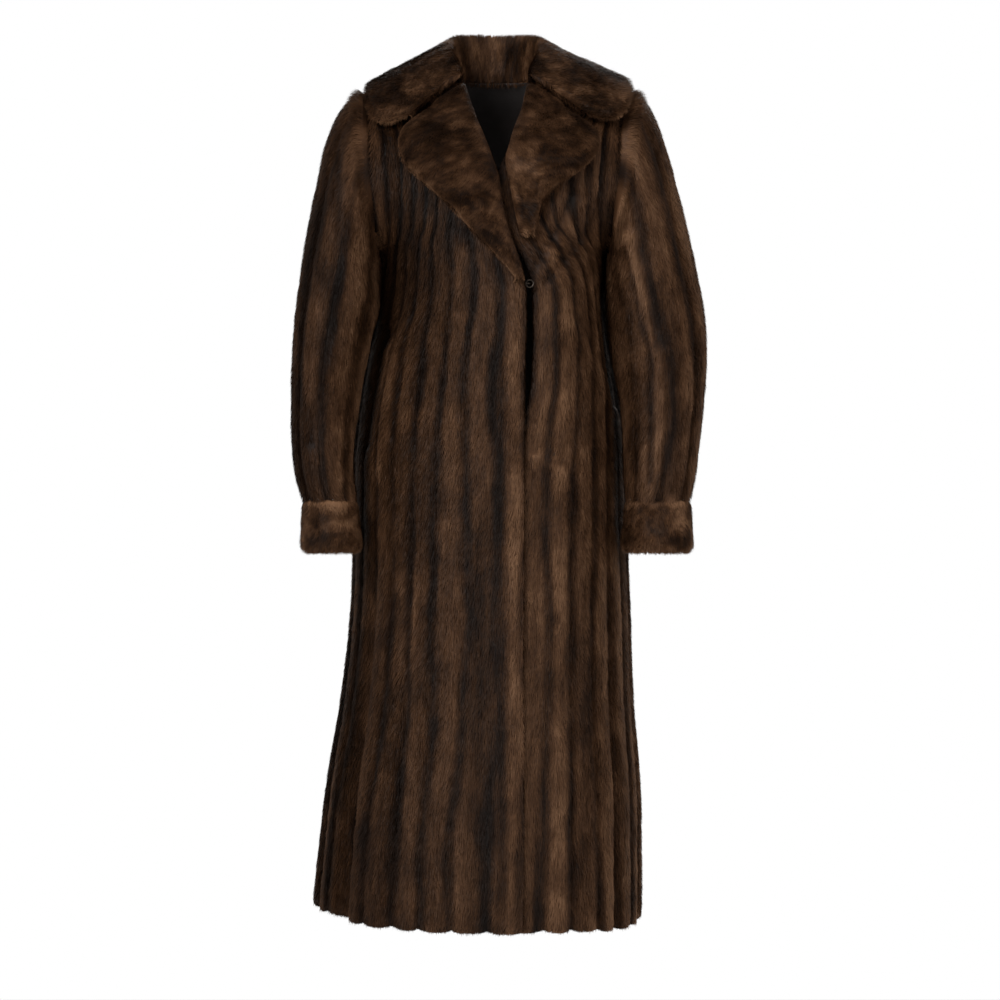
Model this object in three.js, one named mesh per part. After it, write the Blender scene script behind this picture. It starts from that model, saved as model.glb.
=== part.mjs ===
// A long fur coat with a notched collar, full sleeves and turned cuffs, open and hollow as it is worn.
// Millimetres, +Z up, the front towards -Y and the wearer's left at +X.
// The origin is midway between the shoulders, at the height where the coat rests on them.
import * as THREE from "three";

// Driving dimensions
const HEM = -1170; // the hem's height
const ARMPIT = -247; // the height of the armhole's lowest point
const WALL = 8; // leather, lining and the laid pile of the body and sleeves
const CUFF_WALL = 12; // a cuff has pile on both sides
const LAPEL_WALL = 13; // so has a lapel
const ROLL_GAP = 2.8; // between a lapel's roll line and the smooth front under it
const LAPEL_GAP = 4.1; // between the rest of the lapel and the front
const STAND_WALL = 9; // the collar inside the neck
const FALL_WALL = 15; // the collar where it falls over the shoulders
const STRIP_RISE = 2; // how far a pelt strip stands up between its seams
const SCALLOP = 4; // how far a strip's middle hangs below its seams at the hem
const HEM_RISE = 8; // how far the hem is raised over the wearer's right side, where the skirt swings out
const HEM_DROP = 10; // how far it hangs down over the left side
const SEAM = 0.3; // half the gap between pieces that are sewn together
const RIGHT_STRIPS = 9;
const LEFT_STRIPS = 7;
const BACK_STRIPS = 16;
const SLEEVE_STRIPS = 8;
const GATHER = 1.2; // how much more a sleeve's strips stand up where they are gathered above the cuff
const STRIP_STEPS = 3; // columns of points for each strip
const HANDLE = 0.39; // a section curve's handles, as a share of the distance between its ends

// The side seams and the middle of the back. "right" and "left" are the wearer's.
const SIDES = [
  { z: HEM, right: -258, left: 208, seam: 32, back: 210 },
  { z: -1100, right: -252, left: 208, seam: 33, back: 205 },
  { z: -987, right: -239, left: 206, seam: 36, back: 195 },
  { z: -875, right: -220, left: 197, seam: 40, back: 183 },
  { z: -763, right: -207, left: 193, seam: 45, back: 172 },
  { z: -680, right: -203, left: 190, seam: 50, back: 163 },
  { z: -600, right: -203, left: 187, seam: 55, back: 154 },
  { z: -520, right: -202, left: 184, seam: 60, back: 143 },
  { z: -450, right: -196, left: 179, seam: 64, back: 133 },
  { z: -380, right: -187, left: 171, seam: 66, back: 126 },
  { z: -310, right: -173, left: 164, seam: 60, back: 122 },
  { z: -275, right: -168, left: 163, seam: 40, back: 122 },
  { z: ARMPIT, right: -164, left: 160, seam: 12, back: 122 },
];

// The fronts' edges, and above the fastening the line where each turns back as a lapel.
const EDGES = [
  { z: HEM, y: -214, right: 39, left: 16 },
  { z: -987, y: -201, right: 39, left: 18 },
  { z: -763, y: -181, right: 39, left: 22 },
  { z: -600, y: -167, right: 40, left: 28 },
  { z: -500, y: -157, right: 40, left: 38 },
  { z: -430, y: -151, right: 40, left: 50 },
  { z: -303, y: -149, right: 41, left: 50 },
  { z: -264, y: -147, right: 32, left: 36 },
  { z: -233, y: -144, right: 20, left: 20 },
  { z: -196, y: -138, right: 11, left: 8 },
  { z: -145, y: -127, right: 3, left: 7 },
  { z: -119, y: -116, right: -7, left: 17 },
  { z: -90, y: -100, right: -18, left: 26 },
  { z: -60, y: -80, right: -30, left: 37 },
  { z: -29, y: -58, right: -39, left: 43 },
  { z: 4, y: -30, right: -49, left: 51 },
];

// v is 1 at the armpit and runs to 2 at the shoulder's end and to 3 at the neck. Each row has the height of
// the front's edge, the middle of the back, and the way a section leaves the edge (ex, ey, ez) and the armhole
// or shoulder (sx, sy, sz).
const RISE = [
  { v: 0.7, z: -524, backZ: -524, backY: 143, ex: 1, ey: 0, ez: 0, sx: 0.04, sy: 1, sz: 0 },
  { v: 0.8, z: -432, backZ: -432, backY: 131, ex: 1, ey: 0, ez: 0, sx: 0.16, sy: 0.98, sz: 0 },
  { v: 0.9, z: -339, backZ: -339, backY: 122, ex: 1, ey: 0, ez: 0, sx: 0.25, sy: 0.97, sz: 0 },
  { v: 1, z: ARMPIT, backZ: -247, backY: 122, ex: 1, ey: 0, ez: 0, sx: 0.25, sy: 0.97, sz: 0 },
  { v: 1.25, z: -205, backZ: -205, backY: 124, ex: 1, ey: 0, ez: 0, sx: 0.6, sy: 0.8, sz: 0 },
  { v: 1.5, z: -160, backZ: -155, backY: 124, ex: 1, ey: 0.05, ez: 0, sx: 0.8, sy: 0.6, sz: 0 },
  { v: 1.75, z: -122, backZ: -105, backY: 119, ex: 1, ey: 0.1, ez: 0.1, sx: 0.72, sy: 0.68, sz: 0.12 },
  { v: 2, z: -85, backZ: -62, backY: 110, ex: 0.94, ey: 0.15, ez: 0.3, sx: 0.52, sy: 0.84, sz: 0.16 },
  { v: 2.5, z: -40, backZ: -26, backY: 92, ex: 0.86, ey: 0.25, ez: 0.36, sx: 0.4, sy: 0.9, sz: 0.16 },
  { v: 3, z: 4, backZ: 2, backY: 66, ex: 0.8, ey: 0.4, ez: 0.1, sx: 0.4, sy: 0.9, sz: 0.1 },
];
const NECK_POINT = { x: 69, y: 5, z: 4 }; // where the shoulder seam meets the neck
const SHOULDER = { x: 178, y: 12, z: -43 }; // where it meets the sleeve

// Rings down each sleeve. "Out" is the side away from the body and "in" the side towards it.
const SLEEVE = [
  { t: 0, rightOut: 178, leftOut: 178, outZ: -43, rightIn: 164, leftIn: 160, inZ: -247 },
  { t: 1, rightOut: 196, leftOut: 203, outZ: -30, rightIn: 170, leftIn: 166, inZ: -254 },
  { t: 2, rightOut: 218, leftOut: 220, outZ: -53, rightIn: 170, leftIn: 166, inZ: -265 },
  { t: 3, rightOut: 236, leftOut: 237, outZ: -96, rightIn: 169, leftIn: 164, inZ: -282 },
  { t: 4, rightOut: 248, leftOut: 252, outZ: -149, rightIn: 167, leftIn: 160.5, inZ: -303 },
  { t: 5, rightOut: 260, leftOut: 267, outZ: -210, rightIn: 166, leftIn: 158.5, inZ: -330 },
  { t: 6, rightOut: 270, leftOut: 281, outZ: -275, rightIn: 175, leftIn: 160.5, inZ: -364 },
  { t: 7, rightOut: 278, leftOut: 292, outZ: -340, rightIn: 184, leftIn: 166, inZ: -403 },
  { t: 8, rightOut: 281.5, leftOut: 294, outZ: -400, rightIn: 191, leftIn: 174.5, inZ: -446 },
  { t: 9, rightOut: 281.5, leftOut: 289, outZ: -460, rightIn: 197, leftIn: 179.5, inZ: -490 },
  { t: 10, rightOut: 279, leftOut: 281.5, outZ: -515, rightIn: 201, leftIn: 181, inZ: -531 },
  { t: 11, rightOut: 273, leftOut: 275, outZ: -560, rightIn: 200, leftIn: 183, inZ: -566 },
  { t: 12, rightOut: 264, leftOut: 268, outZ: -594, rightIn: 194, leftIn: 184, inZ: -594 },
];

// How far each ring reaches to the front and the back of y, and sag: how far it hangs below its middle there.
const SLEEVE_DEPTH = [
  { t: 0, y: 12, front: 94, back: 88, sag: -10 },
  { t: 1, y: 10, front: 99, back: 95, sag: 0 },
  { t: 2, y: 7, front: 100, back: 93, sag: 6 },
  { t: 3, y: 3, front: 96, back: 88, sag: 8 },
  { t: 4, y: -2, front: 90, back: 82, sag: 8 },
  { t: 5, y: -9, front: 83, back: 76, sag: 7 },
  { t: 6, y: -17, front: 77, back: 70, sag: 6 },
  { t: 7, y: -25, front: 72, back: 66, sag: 5 },
  { t: 8, y: -34, front: 69, back: 62, sag: 4 },
  { t: 9, y: -42, front: 66, back: 59, sag: 3 },
  { t: 10, y: -50, front: 62, back: 55, sag: 2 },
  { t: 11, y: -57, front: 54, back: 47, sag: 1 },
  { t: 12, y: -64, front: 44, back: 38, sag: 0 },
];

// Rings down each cuff: its middle, and its half widths across and front to back.
const CUFF = [
  { t: 0, z: -594.4, right: -227, left: 224, y: -66, rightWide: 35, leftWide: 42, rightDeep: 42, leftDeep: 40 },
  { t: 1, z: -600, right: -227, left: 224, y: -66, rightWide: 38, leftWide: 45, rightDeep: 45, leftDeep: 43 },
  { t: 2, z: -625, right: -226, left: 224, y: -68, rightWide: 38.5, leftWide: 46, rightDeep: 46, leftDeep: 44 },
  { t: 3, z: -650, right: -225, left: 223, y: -70, rightWide: 40.5, leftWide: 48, rightDeep: 48, leftDeep: 46 },
  { t: 4, z: -660, right: -225, left: 223, y: -70, rightWide: 40, leftWide: 47.5, rightDeep: 47, leftDeep: 45 },
  { t: 5, z: -665, right: -225, left: 223, y: -70, rightWide: 36.5, leftWide: 44, rightDeep: 43, leftDeep: 41 },
];

// The collar's stations from the middle of the back to the notch, on one side: the neck seam, the crest of
// the roll, a point half way down the fall, and the outer edge.
const COLLAR = [
  { t: 0, seam: [0, 57, 7], crest: [0, 82, 68], mid: [0, 126, 13], edge: [0, 138, -62] },
  { t: 1, seam: [17, 55, 7], crest: [28, 76, 68], mid: [50, 122, 12], edge: [66, 134, -62] },
  { t: 2, seam: [33, 46, 7], crest: [48, 58, 65], mid: [88, 94, 14], edge: [128, 108, -56] },
  { t: 3, seam: [48, 26, 8], crest: [57, 30, 57], mid: [106, 48, 24], edge: [172, 62, -36] },
  { t: 4, seam: [56, 6, 10], crest: [58, 4, 45], mid: [114, 6, 20], edge: [190, 2, -24] },
  { t: 5, seam: [54, -8, 12], crest: [56, -16, 33], mid: [116, -36, 4], edge: [186, -52, -45] },
  { t: 6, seam: [50, -21, 15], crest: [54, -37, 21], mid: [112, -62, -16], edge: [170, -92, -73] },
  { t: 7, seam: [45, -38, 9], crest: [50, -54, 8], mid: [100, -78, -28], edge: [146, -107, -77] },
  { t: 8, seam: [41, -54, -8], crest: [46, -68, -7], mid: [84, -83, -34], edge: [121, -104, -66] },
];
const COLLAR_LEFT = 1.05; // the wearer's left half of the collar is spread this much wider
const COLLAR_RISE = { left: 9, right: 2, from: 90, to: 170 }; // how much higher its ends lie, from x to x

// A lapel from the collar's seam down to the fastening: where it turns back, and its outer edge.
const RIGHT_LAPEL = [
  { t: 0, rollX: -40, rollZ: -23, edgeX: -116, edgeZ: -85 },
  { t: 1, rollX: -33, rollZ: -48, edgeX: -127, edgeZ: -95 },
  { t: 2, rollX: -25, rollZ: -75, edgeX: -132, edgeZ: -112 },
  { t: 3, rollX: -14, rollZ: -101, edgeX: -124, edgeZ: -137 },
  { t: 4, rollX: -4, rollZ: -128, edgeX: -104, edgeZ: -157 },
  { t: 5, rollX: 5, rollZ: -158, edgeX: -81, edgeZ: -178 },
  { t: 6, rollX: 11, rollZ: -190, edgeX: -55, edgeZ: -202 },
  { t: 7, rollX: 17, rollZ: -222, edgeX: -30, edgeZ: -230 },
  { t: 8, rollX: 27, rollZ: -252, edgeX: -3, edgeZ: -258 },
  { t: 9, rollX: 35, rollZ: -278, edgeX: 18, edgeZ: -282 },
  { t: 10, rollX: 40, rollZ: -297, edgeX: 30, edgeZ: -299 },
];
const LEFT_LAPEL = [
  { t: 0, rollX: 44, rollZ: -23, edgeX: 126, edgeZ: -87 },
  { t: 1, rollX: 38, rollZ: -50, edgeX: 140, edgeZ: -98 },
  { t: 2, rollX: 30, rollZ: -78, edgeX: 143, edgeZ: -115 },
  { t: 3, rollX: 21, rollZ: -104, edgeX: 130, edgeZ: -134 },
  { t: 4, rollX: 14, rollZ: -132, edgeX: 110, edgeZ: -151 },
  { t: 5, rollX: 19, rollZ: -162, edgeX: 86, edgeZ: -167 },
  { t: 6, rollX: 24, rollZ: -190, edgeX: 68, edgeZ: -189 },
  { t: 7, rollX: 29, rollZ: -216, edgeX: 58, edgeZ: -213 },
  { t: 8, rollX: 35, rollZ: -240, edgeX: 48, edgeZ: -238 },
];

// Deep folds of the skirt: where each lies across its panel, its half width there, how deep it is at the hem
// and the height where it fades out.
const RIGHT_FOLDS = [
  { s: 0.14, half: 0.03, deep: 6, top: -330 },
  { s: 0.43, half: 0.04, deep: 5, top: -620 },
  { s: 0.69, half: 0.05, deep: 22, top: -450 },
  { s: 0.88, half: 0.04, deep: 7, top: -560 },
];
const LEFT_FOLDS = [
  { s: 0.29, half: 0.04, deep: 5, top: -520 },
  { s: 0.57, half: 0.04, deep: 7, top: -430 },
  { s: 0.86, half: 0.05, deep: 8, top: -460 },
];
const BACK_FOLDS = [
  { s: 0.07, half: 0.025, deep: 8, top: -520 },
  { s: 0.215, half: 0.03, deep: 12, top: -480 },
  { s: 0.36, half: 0.025, deep: 7, top: -600 },
  { s: 0.5, half: 0.03, deep: 12, top: -420 },
  { s: 0.64, half: 0.025, deep: 6, top: -620 },
  { s: 0.786, half: 0.03, deep: 12, top: -500 },
  { s: 0.93, half: 0.025, deep: 8, top: -560 },
];

// Where the left front passes under the right one: how far it is set in, and the x where that starts and
// ends.
const TUCK = { deep: 12, from: 100, to: 50 };

const vector = (x, y, z) => new THREE.Vector3(x, y, z);
const mix = THREE.MathUtils.lerp;
const smooth = THREE.MathUtils.smoothstep;

// One column of a table at a place along its key, on a smooth curve through the rows.
function read(table, key, place, column, part) {
  const value = (i) => (part === undefined ? table[i][column] : table[i][column][part]);
  const last = table.length - 1;
  let i = 0;
  while (i < last - 1 && place > table[i + 1][key]) i++;
  const slope = (j) => {
    const a = Math.max(j - 1, 0);
    const b = Math.min(j + 1, last);
    return (value(b) - value(a)) / (table[b][key] - table[a][key]);
  };
  const span = table[i + 1][key] - table[i][key];
  const f = THREE.MathUtils.clamp((place - table[i][key]) / span, 0, 1);
  const f2 = f * f;
  const f3 = f2 * f;
  return (
    (2 * f3 - 3 * f2 + 1) * value(i) +
    (f3 - 2 * f2 + f) * span * slope(i) +
    (3 * f2 - 2 * f3) * value(i + 1) +
    (f3 - f2) * span * slope(i + 1)
  );
}

// A ring through its outer, front, inner and back points. Turn 0 is the outer point, a quarter turn the
// front.
function ringPoint(ring, turn) {
  const middle = ring.outer.clone().add(ring.inner).multiplyScalar(0.5);
  const across = ring.outer.clone().sub(ring.inner).multiplyScalar(0.5);
  const along = ring.front.clone().sub(ring.back).multiplyScalar(0.5);
  const shift = ring.front.clone().add(ring.back).multiplyScalar(0.5).sub(middle);
  return middle
    .addScaledVector(across, Math.cos(turn))
    .addScaledVector(along, Math.sin(turn))
    .addScaledVector(shift, Math.sin(turn) ** 2);
}

// The sleeve's ring at t, on the wearer's right (side -1) or left (side 1).
function sleeveRing(side, t) {
  const name = side < 0 ? "right" : "left";
  const outX = side * read(SLEEVE, "t", t, name + "Out");
  const inX = side * read(SLEEVE, "t", t, name + "In");
  const outZ = read(SLEEVE, "t", t, "outZ");
  const inZ = read(SLEEVE, "t", t, "inZ");
  const y = read(SLEEVE_DEPTH, "t", t, "y");
  const z = (outZ + inZ) / 2 - read(SLEEVE_DEPTH, "t", t, "sag");
  return {
    outer: vector(outX, y, outZ),
    inner: vector(inX, y, inZ),
    front: vector((outX + inX) / 2, y - read(SLEEVE_DEPTH, "t", t, "front"), z),
    back: vector((outX + inX) / 2, y + read(SLEEVE_DEPTH, "t", t, "back"), z),
  };
}

// The way out of the armhole's ring at a turn: both pieces sewn there have their walls' edges along it.
function armholeNormal(side, turn) {
  const ring = sleeveRing(side, 0);
  const middle = ring.outer.clone().add(ring.inner).multiplyScalar(0.5);
  const way = ringPoint(ring, turn).sub(middle);
  way.x = 0.1 * side * Math.max(Math.cos(turn), 0) * way.length();
  return way.normalize();
}

// Where a front or the back is sewn on its outer side, and the wall's direction there: the side seam up to
// v = 1, the armhole up to 2 and the shoulder seam up to 3. face is -1 for a front and 1 for the back.
function seamAt(side, face, v) {
  if (v <= 1) {
    const z = mix(HEM, ARMPIT, v);
    const x = read(SIDES, "z", z, side < 0 ? "right" : "left");
    const y = read(SIDES, "z", z, "seam");
    return { point: vector(x, y + face * SEAM, z), normal: vector(side, 0, 0) };
  }
  if (v <= 2) {
    const turn = Math.PI * (2 - v);
    const point = ringPoint(sleeveRing(side, 0), -face * turn);
    point.x -= side * SEAM;
    point.y += face * SEAM;
    const normal = armholeNormal(side, -face * turn);
    const start = 1 - smooth(v, 1, 1.15);
    return { point, normal: normal.lerp(vector(side, 0, 0), start).normalize() };
  }
  const f = v - 2;
  const point = vector(
    side * mix(SHOULDER.x, NECK_POINT.x, f) - side * SEAM,
    mix(SHOULDER.y, NECK_POINT.y, f) + face * SEAM,
    mix(SHOULDER.z, NECK_POINT.z, f),
  );
  const lean = mix(0.1, 0.35, f);
  return { point, normal: vector(side * lean, 0, 1).normalize() };
}

// A point of the cubic curve between two ends with handles.
function curvePoint(a, handleA, handleB, b, s) {
  const r = 1 - s;
  return a
    .clone()
    .multiplyScalar(r * r * r)
    .addScaledVector(handleA, 3 * r * r * s)
    .addScaledVector(handleB, 3 * r * s * s)
    .addScaledVector(b, s * s * s);
}

// How far folds set a panel in at s, at a height.
function foldDepth(folds, s, z) {
  return folds.reduce((sum, fold) => {
    const near = Math.exp(-(((s - fold.s) / fold.half) ** 2));
    return sum + fold.deep * near * (1 - smooth(z, HEM, fold.top));
  }, 0);
}

// A front's smooth surface: s runs from its edge to the side seam, v from the hem to the neck.
function frontBase(side, s, v) {
  const name = side < 0 ? "right" : "left";
  const above = Math.max(v, 0.7);
  const z = v <= 1 ? mix(HEM, ARMPIT, v) : read(RISE, "v", v, "z");
  const edge = vector(read(EDGES, "z", z, name), read(EDGES, "z", z, "y"), z);
  const seam = seamAt(side, -1, v).point;
  const reach = HANDLE * edge.distanceTo(seam);
  const way = (a, b, c) =>
    vector(read(RISE, "v", above, a), read(RISE, "v", above, b), read(RISE, "v", above, c)).normalize();
  const out = way("ex", "ey", "ez").multiply(vector(side, 1, 1));
  const back = way("sx", "sy", "sz").multiply(vector(-side, -1, -1));
  const point = curvePoint(
    edge,
    edge.clone().addScaledVector(out, reach),
    seam.clone().addScaledVector(back, reach),
    seam,
    s,
  );
  if (side > 0) point.y += TUCK.deep * (1 - smooth(point.x, TUCK.to, TUCK.from)) * (1 - smooth(v, 1.5, 1.85));
  return point;
}

// The back's smooth surface: s runs from the wearer's right side seam to the left one.
function backBase(s, v) {
  const side = s < 0.5 ? -1 : 1;
  const above = Math.max(v, 0.7);
  const z = v <= 1 ? mix(HEM, ARMPIT, v) : read(RISE, "v", v, "backZ");
  const y = v <= 1 ? read(SIDES, "z", z, "back") : read(RISE, "v", v, "backY");
  const between = (read(SIDES, "z", z, "right") + read(SIDES, "z", z, "left")) / 2;
  const x = v <= 1 ? between : mix(-2, 0, smooth(v, 1, 2));
  const middle = vector(x, y, z);
  const seam = seamAt(side, 1, v).point;
  const reach = HANDLE * middle.distanceTo(seam);
  const way = vector(
    -side * read(RISE, "v", above, "sx"),
    read(RISE, "v", above, "sy"),
    -read(RISE, "v", above, "sz"),
  ).normalize();
  return curvePoint(
    middle,
    middle.clone().add(vector(side * reach, 0, 0)),
    seam.clone().addScaledVector(way, reach),
    seam,
    Math.abs(2 * s - 1),
  );
}

// The outward direction of a surface, from points a little either side along s and v.
function normalAt(surface, s, v, high, turned) {
  const step = 0.004;
  const across = surface(Math.min(s + step, 1), v).sub(surface(Math.max(s - step, 0), v));
  const up = surface(s, Math.min(v + step, high)).sub(surface(s, Math.max(v - step, 0)));
  return across.cross(up).multiplyScalar(turned).normalize();
}

// A strip's height above its seams at a share of the way across it, flat-topped as let-out pelts are.
const stripHeight = (share) => 1 - Math.abs(2 * (share - Math.floor(share)) - 1) ** 3;

// A closed wall between an outer and an inner grid of points. A ring joins its last column to its first.
function wall(outer, inner, ring) {
  const rows = outer.length;
  const columns = outer[0].length;
  const points = [...outer.flat(), ...inner.flat()];
  const at = (layer, r, c) => layer * rows * columns + r * columns + (c % columns);
  const faces = [];
  const quad = (a, b, c, d) => faces.push(a, b, c, a, c, d);
  const across = ring ? columns : columns - 1;
  for (let r = 0; r < rows - 1; r++)
    for (let c = 0; c < across; c++) {
      quad(at(0, r, c), at(0, r, c + 1), at(0, r + 1, c + 1), at(0, r + 1, c));
      quad(at(1, r, c), at(1, r + 1, c), at(1, r + 1, c + 1), at(1, r, c + 1));
    }
  for (let c = 0; c < across; c++) {
    quad(at(1, 0, c), at(1, 0, c + 1), at(0, 0, c + 1), at(0, 0, c));
    quad(at(0, rows - 1, c), at(0, rows - 1, c + 1), at(1, rows - 1, c + 1), at(1, rows - 1, c));
  }
  for (let r = 0; r < rows - 1 && !ring; r++) {
    quad(at(0, r, 0), at(0, r + 1, 0), at(1, r + 1, 0), at(1, r, 0));
    quad(at(1, r, columns - 1), at(1, r + 1, columns - 1), at(0, r + 1, columns - 1), at(0, r, columns - 1));
  }
  const geometry = new THREE.BufferGeometry().setFromPoints(points).setIndex(faces);
  return facingOut(geometry);
}

// Turns every face round if the closed mesh encloses a negative volume.
function facingOut(geometry) {
  const p = geometry.getAttribute("position");
  const index = geometry.getIndex();
  const [a, b, c] = [vector(0, 0, 0), vector(0, 0, 0), vector(0, 0, 0)];
  let volume = 0;
  for (let i = 0; i < index.count; i += 3) {
    a.fromBufferAttribute(p, index.getX(i));
    b.fromBufferAttribute(p, index.getX(i + 1));
    c.fromBufferAttribute(p, index.getX(i + 2));
    volume += a.dot(b.cross(c));
  }
  if (volume < 0)
    for (let i = 0; i < index.count; i += 3) {
      const second = index.getX(i + 1);
      index.setX(i + 1, index.getX(i + 2));
      index.setX(i + 2, second);
    }
  geometry.computeVertexNormals();
  return geometry;
}

// The heights of a panel's rows, from the hem to the neck.
const LOW_ROWS = [HEM, -1100, -1010, -910, -800, -690, -590, -500, -430, -370, -310, -275, ARMPIT];
const HIGH_ROWS = [1.17, 1.34, 1.5, 1.67, 1.84, 2, 2.33, 2.67, 3];
const PANEL_ROWS = [...LOW_ROWS.map((z) => (z - HEM) / (ARMPIT - HEM)), ...HIGH_ROWS];

// A panel's two grids: the pile's surface with its strips and folds, and the plain inside of the wall.
function panel(surface, strips, folds, turned, face, seams, raised) {
  const columns = strips * STRIP_STEPS;
  const outer = [];
  const inner = [];
  for (const v of PANEL_ROWS) {
    const outerRow = [];
    const innerRow = [];
    for (let c = 0; c <= columns; c++) {
      const s = c / columns;
      const base = surface(s, v);
      const normal = normalAt(surface, s, v, 3, turned);
      let height = stripHeight(s * strips);
      for (const [end, side] of seams) {
        const near = smooth(1 - Math.abs(s - end), 0.85, 1);
        normal.lerp(seamAt(side, face, v).normal, near);
        height *= 1 - near;
      }
      normal.normalize();
      base.addScaledVector(normal, -foldDepth(folds, s, base.z));
      if (v === 0) base.z += raised(s) - SCALLOP * height;
      outerRow.push(base.clone().addScaledVector(normal, STRIP_RISE * height));
      innerRow.push(base.addScaledVector(normal, -WALL));
    }
    outer.push(outerRow);
    inner.push(innerRow);
  }
  return wall(outer, inner, false);
}

function front(side) {
  const folds = side < 0 ? RIGHT_FOLDS : LEFT_FOLDS;
  const raised = (s) => (side < 0 ? HEM_RISE * smooth(s, 0.5, 0.85) : -HEM_DROP * smooth(s, 0.2, 0.7));
  const strips = side < 0 ? RIGHT_STRIPS : LEFT_STRIPS;
  return panel((s, v) => frontBase(side, s, v), strips, folds, side, -1, [[1, side]], raised);
}

function back() {
  const seams = [
    [0, -1],
    [1, 1],
  ];
  const raised = (s) => HEM_RISE * (1 - smooth(s, 0.1, 0.3)) - HEM_DROP * smooth(s, 0.75, 1);
  return panel(backBase, BACK_STRIPS, BACK_FOLDS, -1, 1, seams, raised);
}

// A sleeve is a wall round its rings, with its strips gathered where it meets the cuff.
function sleeve(side) {
  const columns = SLEEVE_STRIPS * STRIP_STEPS;
  const surface = (f, t) => {
    const point = ringPoint(sleeveRing(side, t), f * 2 * Math.PI);
    point.x += side * SEAM * (1 - smooth(t, 0, 1));
    return point;
  };
  const outer = [];
  const inner = [];
  for (let t = 0; t < SLEEVE.length; t++) {
    const outerRow = [];
    const innerRow = [];
    for (let c = 0; c < columns; c++) {
      const f = c / columns;
      const base = surface(f, t);
      const around = surface(f + 0.004, t).sub(surface(f - 0.004, t));
      const along = surface(f, Math.min(t + 0.02, 12)).sub(surface(f, Math.max(t - 0.02, 0)));
      const outward = around.cross(along).multiplyScalar(side).normalize();
      const normal = t === 0 ? armholeNormal(side, f * 2 * Math.PI) : outward;
      if (t === SLEEVE.length - 1) normal.setZ(0).normalize();
      const gathered = 1 + GATHER * smooth(t, 8, 11) * (1 - smooth(t, 11, 12));
      const rise = STRIP_RISE * gathered * stripHeight(f * SLEEVE_STRIPS) * smooth(t, 0, 2);
      outerRow.push(base.clone().addScaledVector(normal, rise));
      innerRow.push(base.addScaledVector(normal, -WALL));
    }
    outer.push(outerRow);
    inner.push(innerRow);
  }
  return wall(outer, inner, true);
}

function cuff(side) {
  const name = side < 0 ? "right" : "left";
  const columns = 24;
  const outer = [];
  const inner = [];
  const wide = read(CUFF, "t", 2, name + "Wide") - CUFF_WALL;
  const deep = read(CUFF, "t", 2, name + "Deep") - CUFF_WALL;
  for (const row of CUFF) {
    const grid = (half, depth) =>
      Array.from({ length: columns }, (_, c) => {
        const turn = (c / columns) * 2 * Math.PI;
        return vector(row[name] + half * Math.cos(turn), row.y - depth * Math.sin(turn), row.z);
      });
    outer.push(grid(row[name + "Wide"], row[name + "Deep"]));
    inner.push(grid(wide, deep));
  }
  return wall(outer, inner, true);
}

// The collar's wall, folded over its crest: a section at t from the seam inside the neck to the outer edge.
function collar() {
  const stations = 32;
  const steps = 10;
  const half = COLLAR.length - 1;
  const line = (t, f) => {
    const side = t < 0 ? -1 : 1;
    const spread = side < 0 ? 1 : COLLAR_LEFT;
    const pick = (column) => {
      const [x, y, z] = [0, 1, 2].map((part) => read(COLLAR, "t", Math.abs(t), column, part));
      const most = side < 0 ? COLLAR_RISE.right : COLLAR_RISE.left;
      return vector(side * spread * x, y, z + most * smooth(x, COLLAR_RISE.from, COLLAR_RISE.to));
    };
    const path = new THREE.CatmullRomCurve3(["seam", "crest", "mid", "edge"].map(pick), false, "centripetal");
    return path.getPoint(f);
  };
  const outer = [];
  const inner = [];
  for (let i = 0; i <= stations; i++) {
    const t = mix(-half, half, i / stations);
    const outerRow = [];
    const innerRow = [];
    for (let j = 0; j <= steps; j++) {
      const f = j / steps;
      const point = line(t, f);
      const along = line(t, Math.min(f + 0.01, 1)).sub(line(t, Math.max(f - 0.01, 0)));
      const around = line(Math.min(t + 0.05, half), f).sub(line(Math.max(t - 0.05, -half), f));
      const normal = around.cross(along).normalize();
      const full = mix(STAND_WALL, FALL_WALL, smooth(f, 0.2, 0.6));
      const rounded = Math.sqrt(1 - (0.85 * smooth(f, 0.8, 1)) ** 2);
      const sunk = (full * (1 - rounded)) / 2;
      outerRow.push(point.clone().addScaledVector(normal, -sunk));
      innerRow.push(point.addScaledVector(normal, sunk - full));
    }
    outer.push(outerRow);
    inner.push(innerRow);
  }
  return wall(outer, inner, false);
}

// The place (s, v) on a front where its surface has this x and z.
function placeOnFront(side, x, z) {
  let [low, high] = [0.8, 3];
  const across = (v) => {
    let [a, b] = [0, 1];
    for (let i = 0; i < 24; i++) {
      const s = (a + b) / 2;
      if (side * (frontBase(side, s, v).x - x) < 0) a = s;
      else b = s;
    }
    return (a + b) / 2;
  };
  for (let i = 0; i < 24; i++) {
    const v = (low + high) / 2;
    if (frontBase(side, across(v), v).z < z) low = v;
    else high = v;
  }
  const v = (low + high) / 2;
  return { s: across(v), v };
}

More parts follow.
